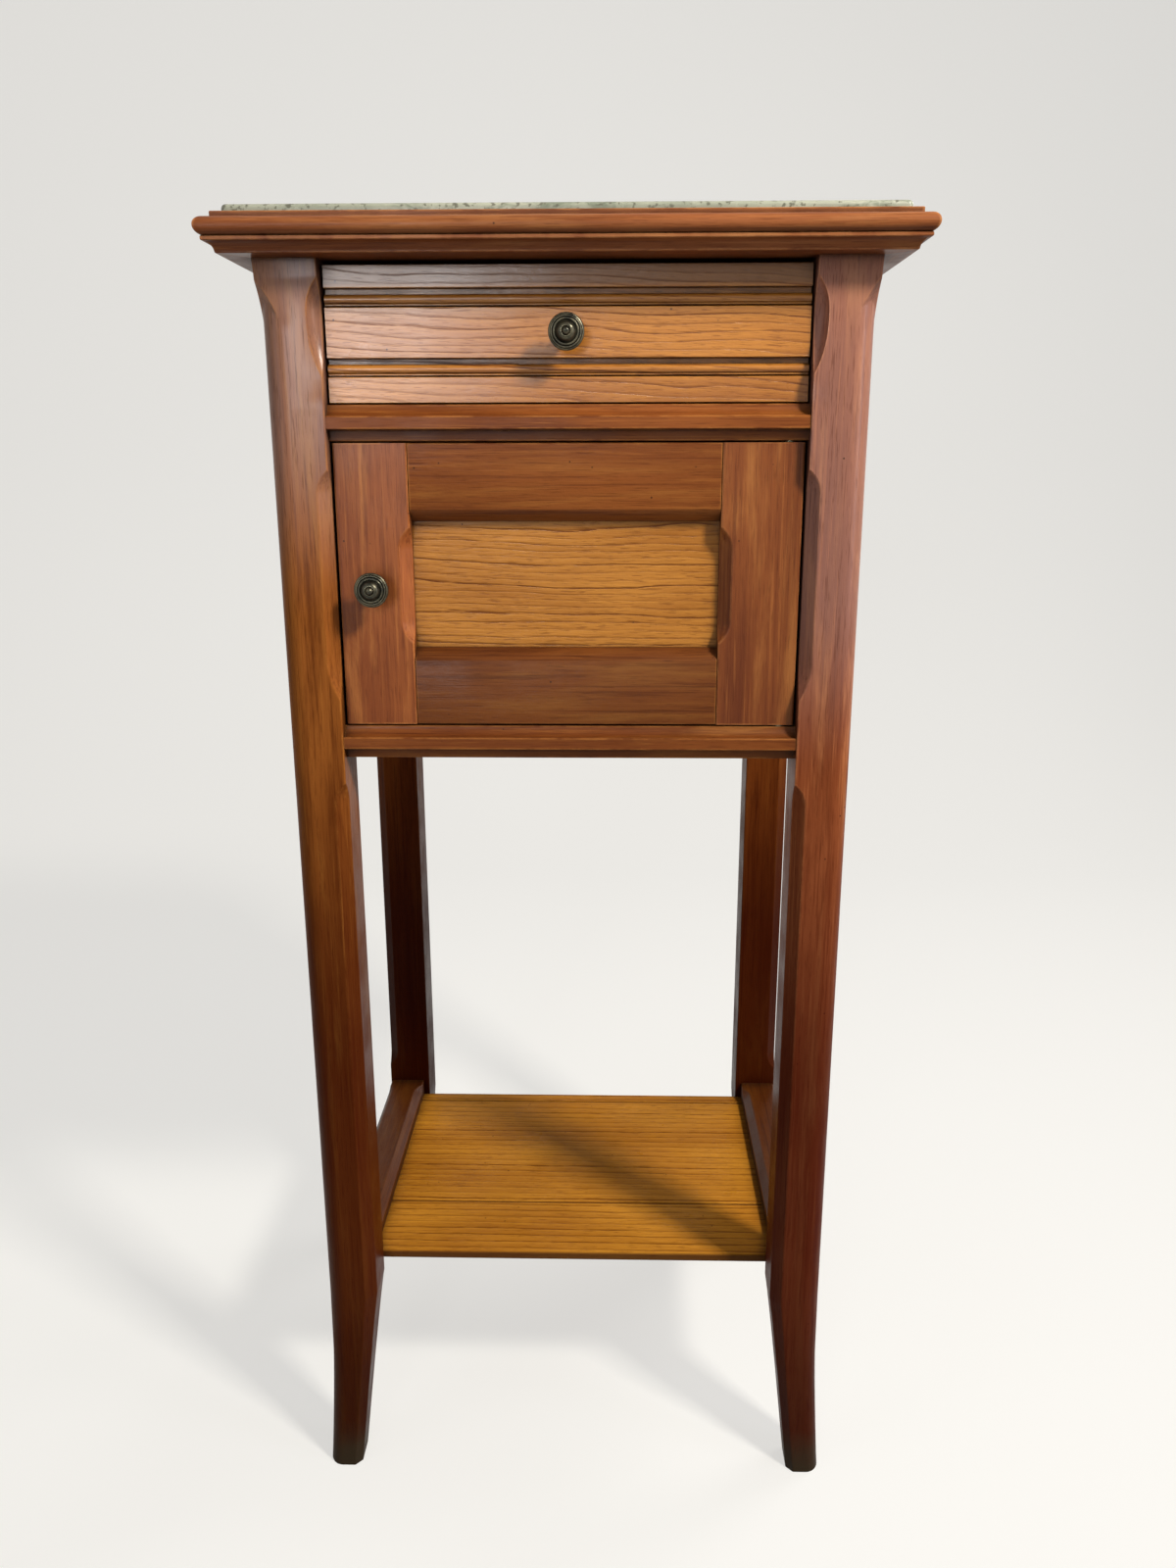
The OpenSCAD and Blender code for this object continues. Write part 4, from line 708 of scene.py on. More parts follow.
def let_in(piece, *nodes):
    """Cuts the seats of the plates, screws and cases that lie flush in a wooden piece."""
    cutters = []
    for points in (part for node in nodes for part in loose_parts(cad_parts[node].data)):
        mesh = bpy.data.meshes.new("seat")
        build = bmesh.new()
        verts = [build.verts.new(p) for p in points]
        spare = bmesh.ops.convex_hull(build, input=verts)
        bmesh.ops.delete(build, geom=spare["geom_interior"], context="VERTS")
        build.to_mesh(mesh)
        build.free()
        cutter = bpy.data.objects.new("seat", mesh)
        bpy.context.scene.collection.objects.link(cutter)
        cut = piece.modifiers.new("seat", "BOOLEAN")
        cut.operation, cut.solver, cut.object = "DIFFERENCE", "EXACT", cutter
        cutters.append(cutter)
    bpy.context.view_layer.update()
    cut_mesh = bpy.data.meshes.new_from_object(piece.evaluated_get(bpy.context.evaluated_depsgraph_get()))
    cut_mesh.name = piece.data.name
    piece.modifiers.clear()
    piece.data = cut_mesh
    cut_mesh.shade_smooth()
    cut_mesh.set_sharp_from_angle(angle=math.radians(BOARD_ANGLE))
    for cutter in cutters:
        old = cutter.data
        bpy.data.objects.remove(cutter)
        bpy.data.meshes.remove(old)


def carry_over(node, material):
    """Gives a node of the frame, whose shape is right, its finish."""
    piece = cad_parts[node]
    piece.data.materials.clear()
    piece.data.materials.append(material)


# ------------------------------------------------------------------ shapes of the cupboard

TOP_Z = node_span("leg_front_left", 2)[1]
FRONT_Y, BACK_Y = -135.0, node_span("leg_rear_left", 1)[1]
OUT_X, LEG = 175.0, 35.0
STRETCHER_Z, STRETCHER_TOP = node_span("stretcher_left", 2)
CASE_Z = node_span("bottom_rail", 2)[0]
DOOR_Z, DOOR_TOP = node_span("door_panel", 2)
DRAWER_Z, DRAWER_TOP = node_span("drawer_front", 2)
FLARE_H, KICK = 95.0, 1.3               # height of a foot's flare, and how late it turns out
TAPER_LATE = 0.9                        # how evenly a leg narrows below the shelf
HEAD_OUT, HEAD_H = 1.2, 40.0            # how far a leg swells under the frame, and over what height
SCOOP_OFF = 4.0                         # distance of the scoops' axis outside the legs' inner edge
SCOOP_RUNS = (0.56, 0.36)               # shares of the drawer's scoop that run out at its foot and its head
PLAIN, PLAIN_SHORT = 15.0, 8.0          # plain wood between a joint and the next stop
ROUND_DOWN = 12.5                       # how far below the frame a front leg's rounded corner ends
ROUND_SPARE = 0.3                       # what is left of the corner's depth where it is cut deepest
SCOOP_LEAD = 4.0                        # how far below the drawer's scoop the leg's rings turn hollow
FOOT_IN, FOOT_SHIFT, FOOT_EASE = 0.985, 0.2, 1.0    # a foot's underside: share, shift and eased height
SUNK = 0.1                              # how far a rail runs into the leg beside it
# How much the sharp edges of each kind of piece are taken off
LEG_EASE, DRAWER_EASE, DOOR_EASE, STRETCHER_EASE, MOULD_EASE = 0.35, 0.35, 0.4, 0.4, 0.45
# The moulded frame: places out from the legs' faces, heights over their tops, and radii
COVE_OUT, COVE_R, NOSE_OUT, NOSE_Z, NOSE_R = 22.1, 5.7, 20.1, 12.9, 4.9
LIP_OUT, LIP_Z, REBATE_OUT, REBATE_Z, FRAME_IN = 17.5, 21.0, 13.0, 11.5, -40.0
# The front rails: their front and back, the recessed strip below and the cove above
RAIL_Y, RAIL_BACK, STRIP_IN, STRIP_H, RAIL_COVE = -134.0, -100.0, 6.0, 6.5, 6.5
# The drawer front: flats over and under its mouldings, and a moulding's height, depth, bead, quirk and step
FLAT_OVER, FLAT_UNDER, BAND_H, BAND_D, BEAD_R, BEAD_IN = 12.3, 14.3, 10.3, 4.0, 2.8, 0.9
QUIRK, STEP_H, STEP_D = 0.8, 1.0, 1.5
# The door: how far its rails' bevel runs over the panel, into the wood and back from the edge
BEVEL_IN, BEVEL_DEEP, BEVEL_OUT = 6.0, 7.0, 1.0
RAIL_GAP = 0.2                          # the seam at each end of the door's rails
STILE_PLAIN = 3.0                       # length of a stile's edge between the bevel and its own chamfer


def leg_cuts():
    """Stopped cuts of a leg, each as lower end, upper end, and lengths of its two stops."""
    long, short = sizes().stop_long / MM, sizes().stop_short / MM
    door_low, door_high = node_span("door_stile_knob", 2)
    scoop_low, scoop_high = node_span("drawer_rail", 2)[1] + PLAIN, DRAWER_TOP - PLAIN_SHORT
    height = scoop_high - scoop_low
    low_rail = node_span("side_rail_bottom_left", 2)
    high_rail = node_span("side_rail_top_left", 2)
    return {
        "front": [(scoop_low, scoop_high, height * SCOOP_RUNS[0], height * SCOOP_RUNS[1]),
                  (door_low + PLAIN, door_high - PLAIN, long, short),
                  (STRETCHER_Z, CASE_Z - PLAIN, 0, short)],
        "side": [(low_rail[1] + PLAIN_SHORT, high_rail[0] - PLAIN_SHORT, long, short),
                 (STRETCHER_TOP + PLAIN, CASE_Z - PLAIN, short, short)],
    }


def leg_rings(front):
    """Rings of a leg from the floor up; its outer front corner is at the origin."""
    cuts = leg_cuts()
    foot_flare, foot_taper = sizes().foot_flare / MM, sizes().foot_taper / MM
    width = sizes().chamfer / MM
    depth = width / SQRT2
    scoop_depth = math.sqrt(width ** 2 + SQRT2 * SCOOP_OFF * width + SCOOP_OFF ** 2) - SCOOP_OFF
    radius = sizes().corner_r / MM
    corner_stop = sizes().corner_stop / MM
    round_top = TOP_Z - ROUND_DOWN
    scoop_low = cuts["front"][0][0]
    marks = [(TOP_Z - HEAD_H, TOP_Z), (round_top - corner_stop, round_top)]
    for low, high, stop_low, stop_high in cuts["side"] + (cuts["front"] if front else []):
        marks += [(low, low + stop_low), (high - stop_high, high)]
    rings = []
    for z in levels(0, TOP_Z, 9, marks, fine=1.2):
        flare = HEAD_OUT * max(0.0, (z - TOP_Z + HEAD_H) / HEAD_H) ** 2
        kick = foot_flare * max(0.0, 1 - z / FLARE_H) ** KICK
        taper = foot_taper * max(0.0, 1 - z / STRETCHER_Z) ** TAPER_LATE
        out = flare + kick
        box = (-out, -out if front else 0.0, LEG - taper, LEG - taper)
        share = (LEG - taper + out) / LEG
        in_scoop = front and z > scoop_low - SCOOP_LEAD

        def cut_depth(kind, moved):
            """Depth of a kind of cut at this height, where the leg's faces have moved out."""
            if z < STRETCHER_Z:
                return depth * share if kind == "front" else 0.0
            best = NO_CUT
            for low, high, stop_low, stop_high in cuts[kind]:
                full = scoop_depth if kind == "front" and low == scoop_low else depth
                best = max(best, stopped_depth(z - low, high - low, full, stop_low, stop_high))
            return best + moved / SQRT2 if best > NO_CUT / 2 else 0.0

        outer = 0.0
        if front:
            outer = stopped_depth(z, round_top, radius / SQRT2, 0, corner_stop)
            outer = outer + flare * SQRT2 if outer > NO_CUT / 2 else 0.0
            outer = min(outer, radius / SQRT2 - ROUND_SPARE) * min(share, 1.0)
        depths = [outer, cut_depth("front", flare) if front else 0.0, 0.0, cut_depth("side", flare)]
        ring = corner_ring(box, depths, LEG_EASE, radius * min(share, 1.0) if front else 0.0,
                           (SCOOP_OFF if in_scoop else 0.0) if front else None)
        rings.append([(a, b, z) for a, b in ring])
    return rings


def make_leg(name, front, right, material):
    """A leg in its corner of the case, its foot's edge eased."""
    rings = leg_rings(front)
    foot = [(a, b) for a, b, _ in rings[0]]
    rings = [[(a * FOOT_IN + FOOT_SHIFT, b * FOOT_IN + FOOT_SHIFT, 0.0) for a, b in foot],
             [(a, b, FOOT_EASE) for a, b in foot]] + rings[1:]
    placed = []
    for ring in rings:
        row = [(-OUT_X + a, (FRONT_Y + b) if front else (BACK_Y - b), z) for a, b, z in ring]
        placed.append([(-x if right else x, y, z) for x, y, z in row])
    return to_piece(name, "cupboard", material, loft(placed), name.removeprefix("dressed_"))


class CUPBOARD_OT_legs(bpy.types.Operator):
    """Make the four legs, with their stopped chamfers and out-curved feet"""
    bl_idname = "cupboard.legs"
    bl_label = "Legs"

    def execute(self, context):
        # Front or rear, right or left, tone, hue, and the height where the painted sheen starts
        # The rear legs' low tones are painted shade, and the right front leg's strong blue is a painted cast
        # of cool light
        kinds = ((True, False, 1.02, (1.0, 1.06, 0.95), 0.62), (True, True, 1.22, (1.02, 1.02, 1.8), 0.52),
                 (False, False, 0.44, (1.0, 0.78, 0.6), 0.62), (False, True, 0.58, (1.0, 0.85, 0.7), 0.62))
        for index, (front, right, tone, hue, bloom) in enumerate(kinds):
            side = "right" if right else "left"
            where = "front" if front else "rear"
            material = finish(f"leg_wood_{where}_{side}", polished_hardwood, "Z",
                              offset=(0.31 * index, 0.7 * index, 0.13), tone=tone, hue=hue, bloom=bloom)
            leg = make_leg(f"dressed_leg_{where}_{side}", front, right, material)
            if front and not right:
                let_in(leg, "strike_plate", "strike_screws")
        return {"FINISHED"}


def top_section():
    """Section of the moulded frame: out from the legs' faces, and up from their tops."""
    section = [(FRAME_IN, 0)] + arc(COVE_OUT, 0, COVE_R, 180, 90, 10) + [(COVE_OUT, NOSE_Z - NOSE_R)]
    section += arc(NOSE_OUT, NOSE_Z, NOSE_R, -90, 90, 18)
    section += [(LIP_OUT, NOSE_Z + NOSE_R), (LIP_OUT, LIP_Z), (REBATE_OUT, LIP_Z), (REBATE_OUT, REBATE_Z),
                (FRAME_IN, REBATE_Z)]
    return eased(section, MOULD_EASE)


class CUPBOARD_OT_top(bpy.types.Operator):
    """Make the mitred moulded frame and the marble slab let into it"""
    bl_idname = "cupboard.top"
    bl_label = "Marble top"

    def execute(self, context):
        section = top_section()
        rings = [[((OUT_X + s) * (i / 5 - 1), FRONT_Y - s, TOP_Z + z) for s, z in section] for i in range(11)]
        to_piece("moulding_front", "cupboard",
                 finish("frame_wood_front", polished_hardwood, "X", offset=(0.4, 0.1, 0.3), tone=1.14,
                        hue=(1.0, 1.10, 1.7)),
                 loft(rings), "top_frame_front", MOULD_ANGLE)
        for side, sign in (("left", -1), ("right", 1)):
            rings = [[(sign * (OUT_X + s), (FRONT_Y - s) + (BACK_Y - FRONT_Y + s) * i / 8, TOP_Z + z)
                      for s, z in section] for i in range(9)]
            to_piece(f"moulding_{side}", "cupboard",
                     finish(f"frame_wood_{side}", polished_hardwood, "Y", offset=(0.2 * sign, 0.5, 0.8)),
                     loft(rings), f"top_frame_{side}", MOULD_ANGLE)
        eased_board("moulding_back", "top_frame_back", "cupboard",
                    finish("frame_wood_back", polished_hardwood, "X", offset=(0.9, 0.2, 0.6), tone=0.9))
        self.marble()
        return {"FINISHED"}

    def marble(self):
        """The slab, its front corners and upper edge rounded."""
        lo, hi = corners_mm("marble_top")
        edge = sizes().marble_edge / MM
        corner, arris = 3.0, 0.3

        def plan(inset, z):
            """The slab's outline at one height."""
            r = max(corner - inset, arris * 2)
            x0, x1, y0, y1 = lo.x + inset, hi.x - inset, lo.y + inset, hi.y
            ring = [(x, y, z) for x, y in arc(x0 + r, y0 + r, r, 180, 270, 6)]
            ring += [(x, y, z) for x, y in arc(x1 - r, y0 + r, r, 270, 360, 6)]
            return ring + [(x1, y1, z), (x0, y1, z)]

        rings = [plan(arris, lo.z), plan(0.0, lo.z + arris), plan(0.0, (lo.z + hi.z) / 2)]
        for i in range(7):
            angle = math.radians(15 * i)
            rings.append(plan(edge * (1 - math.cos(angle)), hi.z - edge + edge * math.sin(angle)))
        to_piece("marble_slab", "cupboard", finish("veined_marble", veined_marble),
                 loft(rings), "marble_top", ROUND_ANGLE)


def front_rail_section(z0, z1):
    """Section of a front rail: a cove along the top, a flat band and a recessed strip."""
    return eased([(RAIL_Y + STRIP_IN, z0), (RAIL_BACK, z0), (RAIL_BACK, z1)] +
                 arc(RAIL_Y, z1, RAIL_COVE, 0, -90, 10) +
                 [(RAIL_Y, z0 + STRIP_H), (RAIL_Y + STRIP_IN, z0 + STRIP_H)], MOULD_EASE)


class CUPBOARD_OT_rails(bpy.types.Operator):
    """Make the two moulded front rails and the rails and panels of the case's sides and back"""
    bl_idname = "cupboard.rails"
    bl_label = "Rails and panels"

    def execute(self, context):
        across = (-OUT_X + LEG - SUNK, OUT_X - LEG + SUNK)
        for index, node in enumerate(("drawer_rail", "bottom_rail")):
            rail = to_piece(f"moulded_{node}", "cupboard",
                            finish(f"{node}_wood", polished_hardwood, "X", offset=(0.3 + index, 0.2, 0.1),
                                   tone=1.05 - 0.15 * index),
                            sweep(front_rail_section(*node_span(node, 2)), *across, "X"), node, MOULD_ANGLE)
            let_in(rail, "pivot_pins", "pivot_screws_case")
        side_wood = finish("side_rail_wood", polished_hardwood, "Y", offset=(0.7, 0.2, 0.5), tone=0.95)
        for side in ("left", "right"):
            for level in ("top", "bottom"):
                node = f"side_rail_{level}_{side}"
                eased_board(f"eased_{node}", node, "cupboard", side_wood, "Y",
                            ends=(FRONT_Y + LEG - SUNK, BACK_Y - LEG + SUNK))
            node = f"side_panel_{side}"
            eased_board(f"polished_{node}", node, "cupboard",
                        finish("side_panel_wood", golden_ash, "Z", offset=(0.1, 0.19, 0.02), tilt=(0, 0, 0.6),
                               period=0.0048, tone=0.85), "Z")
        back_wood = finish("back_rail_wood", polished_hardwood, "X", offset=(0.1, 0.9, 0.5), tone=0.8)
        for level in ("top", "bottom"):
            node = f"back_rail_{level}"
            eased_board(f"eased_{node}", node, "cupboard", back_wood, "X", ends=across)
        eased_board("boarded_back", "back_panel", "cupboard",
                    finish("back_board_wood", bare_softwood, "Z", offset=(0.2, 0.4, 0.1), tone=0.8), "Z")
        return {"FINISHED"}


def drawer_section():
    """Section of the drawer front with its two mouldings, from the lower back edge round."""
    y0, y1 = node_span("drawer_front", 1)
    section = [(y1, DRAWER_Z), (y1, DRAWER_TOP), (y0, DRAWER_TOP)]
    for foot in (DRAWER_TOP - FLAT_OVER - BAND_H, DRAWER_Z + FLAT_UNDER):
        step = foot + QUIRK + STEP_H
        section += [(y0, foot + BAND_H), (y0 + BAND_D, foot + BAND_H)]
        section += arc(y0 + BAND_D - BEAD_IN, step + 0.9 * BEAD_R, BEAD_R, 71, 244, 14)
        section += [(y0 + STEP_D, step), (y0 + STEP_D, foot + QUIRK), (y0 + BAND_D, foot + QUIRK),
                    (y0 + BAND_D, foot), (y0, foot)]
    section.append((y0, DRAWER_Z))
    return eased(section[::-1], DRAWER_EASE)


class CUPBOARD_OT_drawer(bpy.types.Operator):
    """Make the drawer's moulded front and finish its box"""
    bl_idname = "cupboard.drawer"
    bl_label = "Drawer"

    def execute(self, context):
        to_piece("moulded_drawer_front", "drawer",
                 finish("drawer_front_wood", golden_ash, "X", offset=(0.35, 0.05, -0.60), tilt=(0, -2.2, 0),
                        period=0.0044, tone=1.15, gloss=0.45, shine=0.36,
                        smoky_above=(DRAWER_TOP - FLAT_OVER) * MM),
                 sweep(drawer_section(), *node_span("drawer_front", 0), "X"), "drawer_front", MOULD_ANGLE)
        for node in ("drawer_side_left", "drawer_side_right"):
            carry_over(node, finish("drawer_side_wood", bare_softwood, "Y", offset=(0.3, 0.1, 0.6)))
        carry_over("drawer_back", finish("drawer_back_wood", bare_softwood, "X", offset=(0.3, 0.8, 0.6)))
        carry_over("drawer_bottom", finish("drawer_bottom_wood", bare_softwood, "X", offset=(0.6, 0.4, 0.2)))
        return {"FINISHED"}


def stile_rings(x_in, x_out, left):
    """Rings of a door stile whose inner edge carries the stopped chamfer."""
    y0, y1 = node_span("door_stile_knob", 1)
    z0, z1 = node_span("door_stile_knob", 2)
    depth = sizes().chamfer / MM / SQRT2
    stop = sizes().stop_short / MM
    low, high = DOOR_Z + BEVEL_IN + STILE_PLAIN, DOOR_TOP - BEVEL_IN - STILE_PLAIN
    rings = []
    for z in levels(z0, z1, 12, [(low, low + stop), (high - stop, high)], fine=1.2):
        cut = plain_depth(z - low, high - low, depth, stop, stop)
        x0, x1, depths = (x_out, x_in, [0, cut, 0, 0]) if left else (x_in, x_out, [cut, 0, 0, 0])
        rings.append([(a, b, z) for a, b in corner_ring((x0, y0, x1, y1), depths, DOOR_EASE)])
    return rings


def door_rail_section(lower):
    """Section of one of the door's rails, bevelled towards the panel."""
    y0, y1 = node_span("door_stile_knob", 1)
    z0, z1 = node_span("door_stile_knob", 2)
    far, near, inward = (z0, DOOR_Z, 1) if lower else (z1, DOOR_TOP, -1)
    inner = near + BEVEL_IN * inward
    section = [(y0, far), (y1, far), (y1, inner), (y0 + BEVEL_DEEP, inner), (y0, near - BEVEL_OUT * inward)]
    return eased(section if lower else section[::-1], DOOR_EASE)


class CUPBOARD_OT_door(bpy.types.Operator):
    """Make the door's stiles, rails and panel"""
    bl_idname = "cupboard.door"
    bl_label = "Door"

    def execute(self, context):
        left = node_span("door_stile_knob", 0)
        right = node_span("door_stile_pivot", 0)
        # The knob stile's higher tone is partly a painted sheen of window light on its face
        for node, inner, outer, is_left, tone, offset in (
                ("door_stile_knob", left[1], left[0], True, 1.28, (0.2, 0.4, 0.9)),
                ("door_stile_pivot", right[0], right[1], False, 1.02, (0.6, 0.1, 0.2))):
            stile = to_piece(f"chamfered_{node}", "door",
                             finish(f"{node}_wood", polished_hardwood, "Z", offset=offset, tone=tone,
                                    hue=(1.0, 1.0, 1.25), polish=0.20),
                             loft(stile_rings(inner, outer, is_left)), node)
            let_in(stile, *(("catch_case",) if is_left else ("pivot_sockets", "pivot_screws_door")))
        for node, lower, tone, offset, polish in (("door_rail_top", False, 0.95, (0.5, 0.4, 0.1), 0.05),
                                                  ("door_rail_bottom", True, 0.56, (0.9, 0.6, 0.4), 0.01)):
            to_piece(f"bevelled_{node}", "door",
                     finish(f"{node}_wood", polished_hardwood, "X", offset=offset, tone=tone, polish=polish),
                     sweep(door_rail_section(lower), left[1] + RAIL_GAP, right[0] - RAIL_GAP, "X"),
                     node, MOULD_ANGLE)
        eased_board("polished_door_panel", "door_panel", "door",
                    finish("door_panel_wood", golden_ash, "X", offset=(0.15, 0.03, -0.40), tilt=(0, -0.6, 0),
                           period=0.0043, tone=1.12, hue=(1.0, 1.06, 1.15)), "X")
        return {"FINISHED"}


STUD_R = 2.0                            # radius of the stud that runs from a knob through the wood


def knob_outline():
    """Half outline of a knob, from the wood outwards: radius, and distance from the wood."""
    r = sizes().knob_r / MM
    neck, rim, length, button = r * 0.36, 13.6, 22.0, 2.35
    # Foot, neck and bowl
    outline = [(0, 0), (r * 0.62, 0), (r * 0.62, 1.0), (r * 0.56, 1.6), (r * 0.40, 2.2), (neck, 3.4)]
    outline += [(neck, 8.2)] + arc(neck + 4.6, rim - 4.6, 4.6, 180, 100, 7)
    # The widest ring, a thin one and the inner one
    outline += [(r - 0.3, rim - 0.2)] + arc(r - 1.1, rim + 1.1, 1.1, -60, 80, 6)
    outline += [(r - 1.3, rim + 2.0)] + arc(r - 1.9, rim + 2.5, 0.6, -10, 140, 5)
    outline += [(r - 2.7, rim + 2.5)] + arc(r - 3.4, rim + 3.1, 0.75, -20, 130, 5)
    # The boss and its round button
    outline += [(r - 4.2, rim + 3.3), (5.4, rim + 4.3), (4.9, rim + 5.3), (4.1, rim + 6.1), (3.3, rim + 6.55),
                (2.75, rim + 6.6), (2.5, rim + 6.3)]
    return outline + arc(0, length - button, button, 15, 90, 6)[:-1] + [(0.0, length)]


def turned(outline, centre, turns=64):
    """Points and faces of an outline turned about the line that runs out of the wood."""
    points, faces = [], []
    inner = [p for p in outline if p[0] > 1e-6]
    for a, b in inner:
        for k in range(turns):
            angle = 2 * math.pi * k / turns
            points.append((centre[0] + a * math.cos(angle), centre[1] - b, centre[2] + a * math.sin(angle)))
    for i in range(len(inner) - 1):
        for k in range(turns):
            j = (k + 1) % turns
            faces.append((i * turns + k, i * turns + j, (i + 1) * turns + j, (i + 1) * turns + k))
    back, tip = len(points), len(points) + 1
    points += [(centre[0], centre[1] - outline[i][1], centre[2]) for i in (0, -1)]
    last = (len(inner) - 1) * turns
    for k in range(turns):
        j = (k + 1) % turns
        faces.append((back, j, k))
        faces.append((tip, last + k, last + j))
    return points, faces


class CUPBOARD_OT_knobs(bpy.types.Operator):
    """Make the two ringed knobs and finish their nuts"""
    bl_idname = "cupboard.knobs"
    bl_label = "Knobs"

    def execute(self, context):
        brass = finish("knob_brass", aged_brass)
        for node, front, body in (("drawer_knob", "drawer_front", "drawer"),
                                  ("door_knob", "door_stile_knob", "door")):
            lo, hi = corners_mm(node)
            centre = ((lo.x + hi.x) / 2, node_span(front, 1)[0], (lo.z + hi.z) / 2)
            points, faces = turned(knob_outline(), centre)
            end = centre[1] - hi.y
            stud = [(0, end), (STUD_R - 0.3, end), (STUD_R, end + 0.4), (STUD_R, 1.0), (0, 1.0)]
            stud_points, stud_faces = turned(stud, centre, 32)
            faces += [tuple(i + len(points) for i in face) for face in stud_faces]
            to_piece(f"ringed_{node}", body, brass, (points + stud_points, faces), node,
                     ROUND_ANGLE)
            carry_over(f"{node}_nut", finish("nut_brass", aged_brass, polish=0.1))
        return {"FINISHED"}


# The left stretcher: its sides, its ends, where its chamfers start and stop, and the chamfers' widths
STRETCHER_X, STRETCHER_Y, STRETCHER_CUT = (-174.0, -145.0), (-100.05, 125.05), (-92.0, 117.0)
STRETCHER_CHAMFERS = (6.0, 3.0)


class CUPBOARD_OT_shelf(bpy.types.Operator):
    """Make the low shelf's boards and the stretchers that carry them"""
    bl_idname = "cupboard.shelf"
    bl_label = "Shelf"

    def execute(self, context):
        for index, part in enumerate(("front", "middle", "back")):
            node = f"shelf_board_{part}"
            eased_board(f"polished_{node}", node, "cupboard",
                        finish(f"{node}_wood", golden_ash, "X", offset=(0.2 + 0.3 * index, 0.30, -0.21),
                               tilt=(0, 0, 0.4), period=0.0074, tone=1.20, hue=(1.0, 1.08, 0.70),
                               wander=0.006, gloss=0.0, shine=0.06, dark_front=True), "X", ease=0.7)
        low, high = STRETCHER_CUT
        stop = sizes().stop_short / MM
        for side, sign in (("left", 1), ("right", -1)):
            rings = []
            for y in levels(*STRETCHER_Y, 14, [(low, low + stop), (high - stop, high)]):
                cuts = [plain_depth(y - low, high - low, width / SQRT2, stop, stop)
                        for width in STRETCHER_CHAMFERS]
                box = (STRETCHER_X[0], STRETCHER_Z, STRETCHER_X[1], STRETCHER_TOP)
                rings.append([(a * sign, y, b) for a, b in corner_ring(box, [0, 0] + cuts, STRETCHER_EASE)])
            # Painted shade: the stretchers' very low tone stands in for the shade under the case
            to_piece(f"chamfered_stretcher_{side}", "cupboard",
                     finish(f"stretcher_wood_{side}", polished_hardwood, "Y", offset=(0.3, 0.2, 0.9),
                            tone=0.30, hue=(1.0, 0.85, 0.6)),
                     loft(rings), f"stretcher_{side}")
        return {"FINISHED"}


class CUPBOARD_OT_inside(bpy.types.Operator):
    """Finish the pieces inside the case"""
    bl_idname = "cupboard.inside"
    bl_label = "Inside"

    def execute(self, context):
        across = finish("floor_board_wood", bare_softwood, "X", offset=(0.7, 0.2, 0.4), tone=0.85)
        deep = finish("runner_wood", bare_softwood, "Y", offset=(0.1, 0.3, 0.2), tone=0.95)
        for node in ("cupboard_floor", "dust_board", "drawer_stops"):
            carry_over(node, across)
        for node in ("floor_cleats", "drawer_runner_left", "drawer_runner_right", "drawer_guide_left",
                     "drawer_guide_right", "kicker_left", "kicker_right"):
            carry_over(node, deep)
        carry_over("door_stop",
                   finish("door_stop_wood", polished_hardwood, "Z", offset=(0.1, 0.3, 0.2), tone=0.8))
        return {"FINISHED"}


WIRE_R, COIL_TURNS, COIL_STEPS, WIRE_SIDES = 0.3, 5, 24, 8     # the catch's spring


class CUPBOARD_OT_metalwork(bpy.types.Operator):
    """Finish the pivots, the ball catch and the screws"""
    bl_idname = "cupboard.metalwork"
    bl_label = "Metalwork"

    def execute(self, context):
        plate = finish("plate_brass", aged_brass, polish=0.25)
        for node in ("pivot_pins", "pivot_sockets", "pivot_screws_case", "pivot_screws_door", "catch_case",
                     "strike_plate", "strike_screws"):
            carry_over(node, plate)
        steel = finish("plain_steel", plain_steel)
        for node in ("frame_screws", "catch_ball"):
            carry_over(node, steel)
        self.spring(steel)
        return {"FINISHED"}

    def spring(self, steel):
        """The catch's coil of wire; the real coil shortens as the ball is pressed in."""
        low, high = corners_mm("catch_spring")
        centre = (low + high) / 2
        coil = (high.y - low.y) / 2 - WIRE_R
        start, run, count = low.x + WIRE_R, high.x - low.x - 2 * WIRE_R, COIL_TURNS * COIL_STEPS
        rings = []
        for i in range(count + 1):
            turn = 2 * math.pi * i / COIL_STEPS
            ring = []
            for j in range(WIRE_SIDES):
                around = 2 * math.pi * j / WIRE_SIDES
                r = coil + WIRE_R * math.cos(around)
                ring.append((start + run * i / count + WIRE_R * math.sin(around),
                             centre.y + r * math.sin(turn), centre.z - r * math.cos(turn)))
            rings.append(ring)
        piece = to_piece("coiled_catch_spring", "door", steel, loft(rings), "catch_spring",
                         WIRE_ANGLE)
        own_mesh(piece)


# The pale of the studio, the floor's glow to camera and in reflections, and the air as light and as seen
STUDIO_PALE, FLOOR_GLOW, AIR_LIGHT, AIR_SEEN = (0.98, 0.965, 0.93, 1.0), 0.635, 0.15, 0.745
# The floor's front and back ends, the radius that turns it into the backdrop, its height and half its width
FLOOR_FRONT, FLOOR_BACK, FLOOR_CURVE, WALL_TOP, HALF_WIDE = -4.0, 1.2, 0.8, 4.0, 5.0
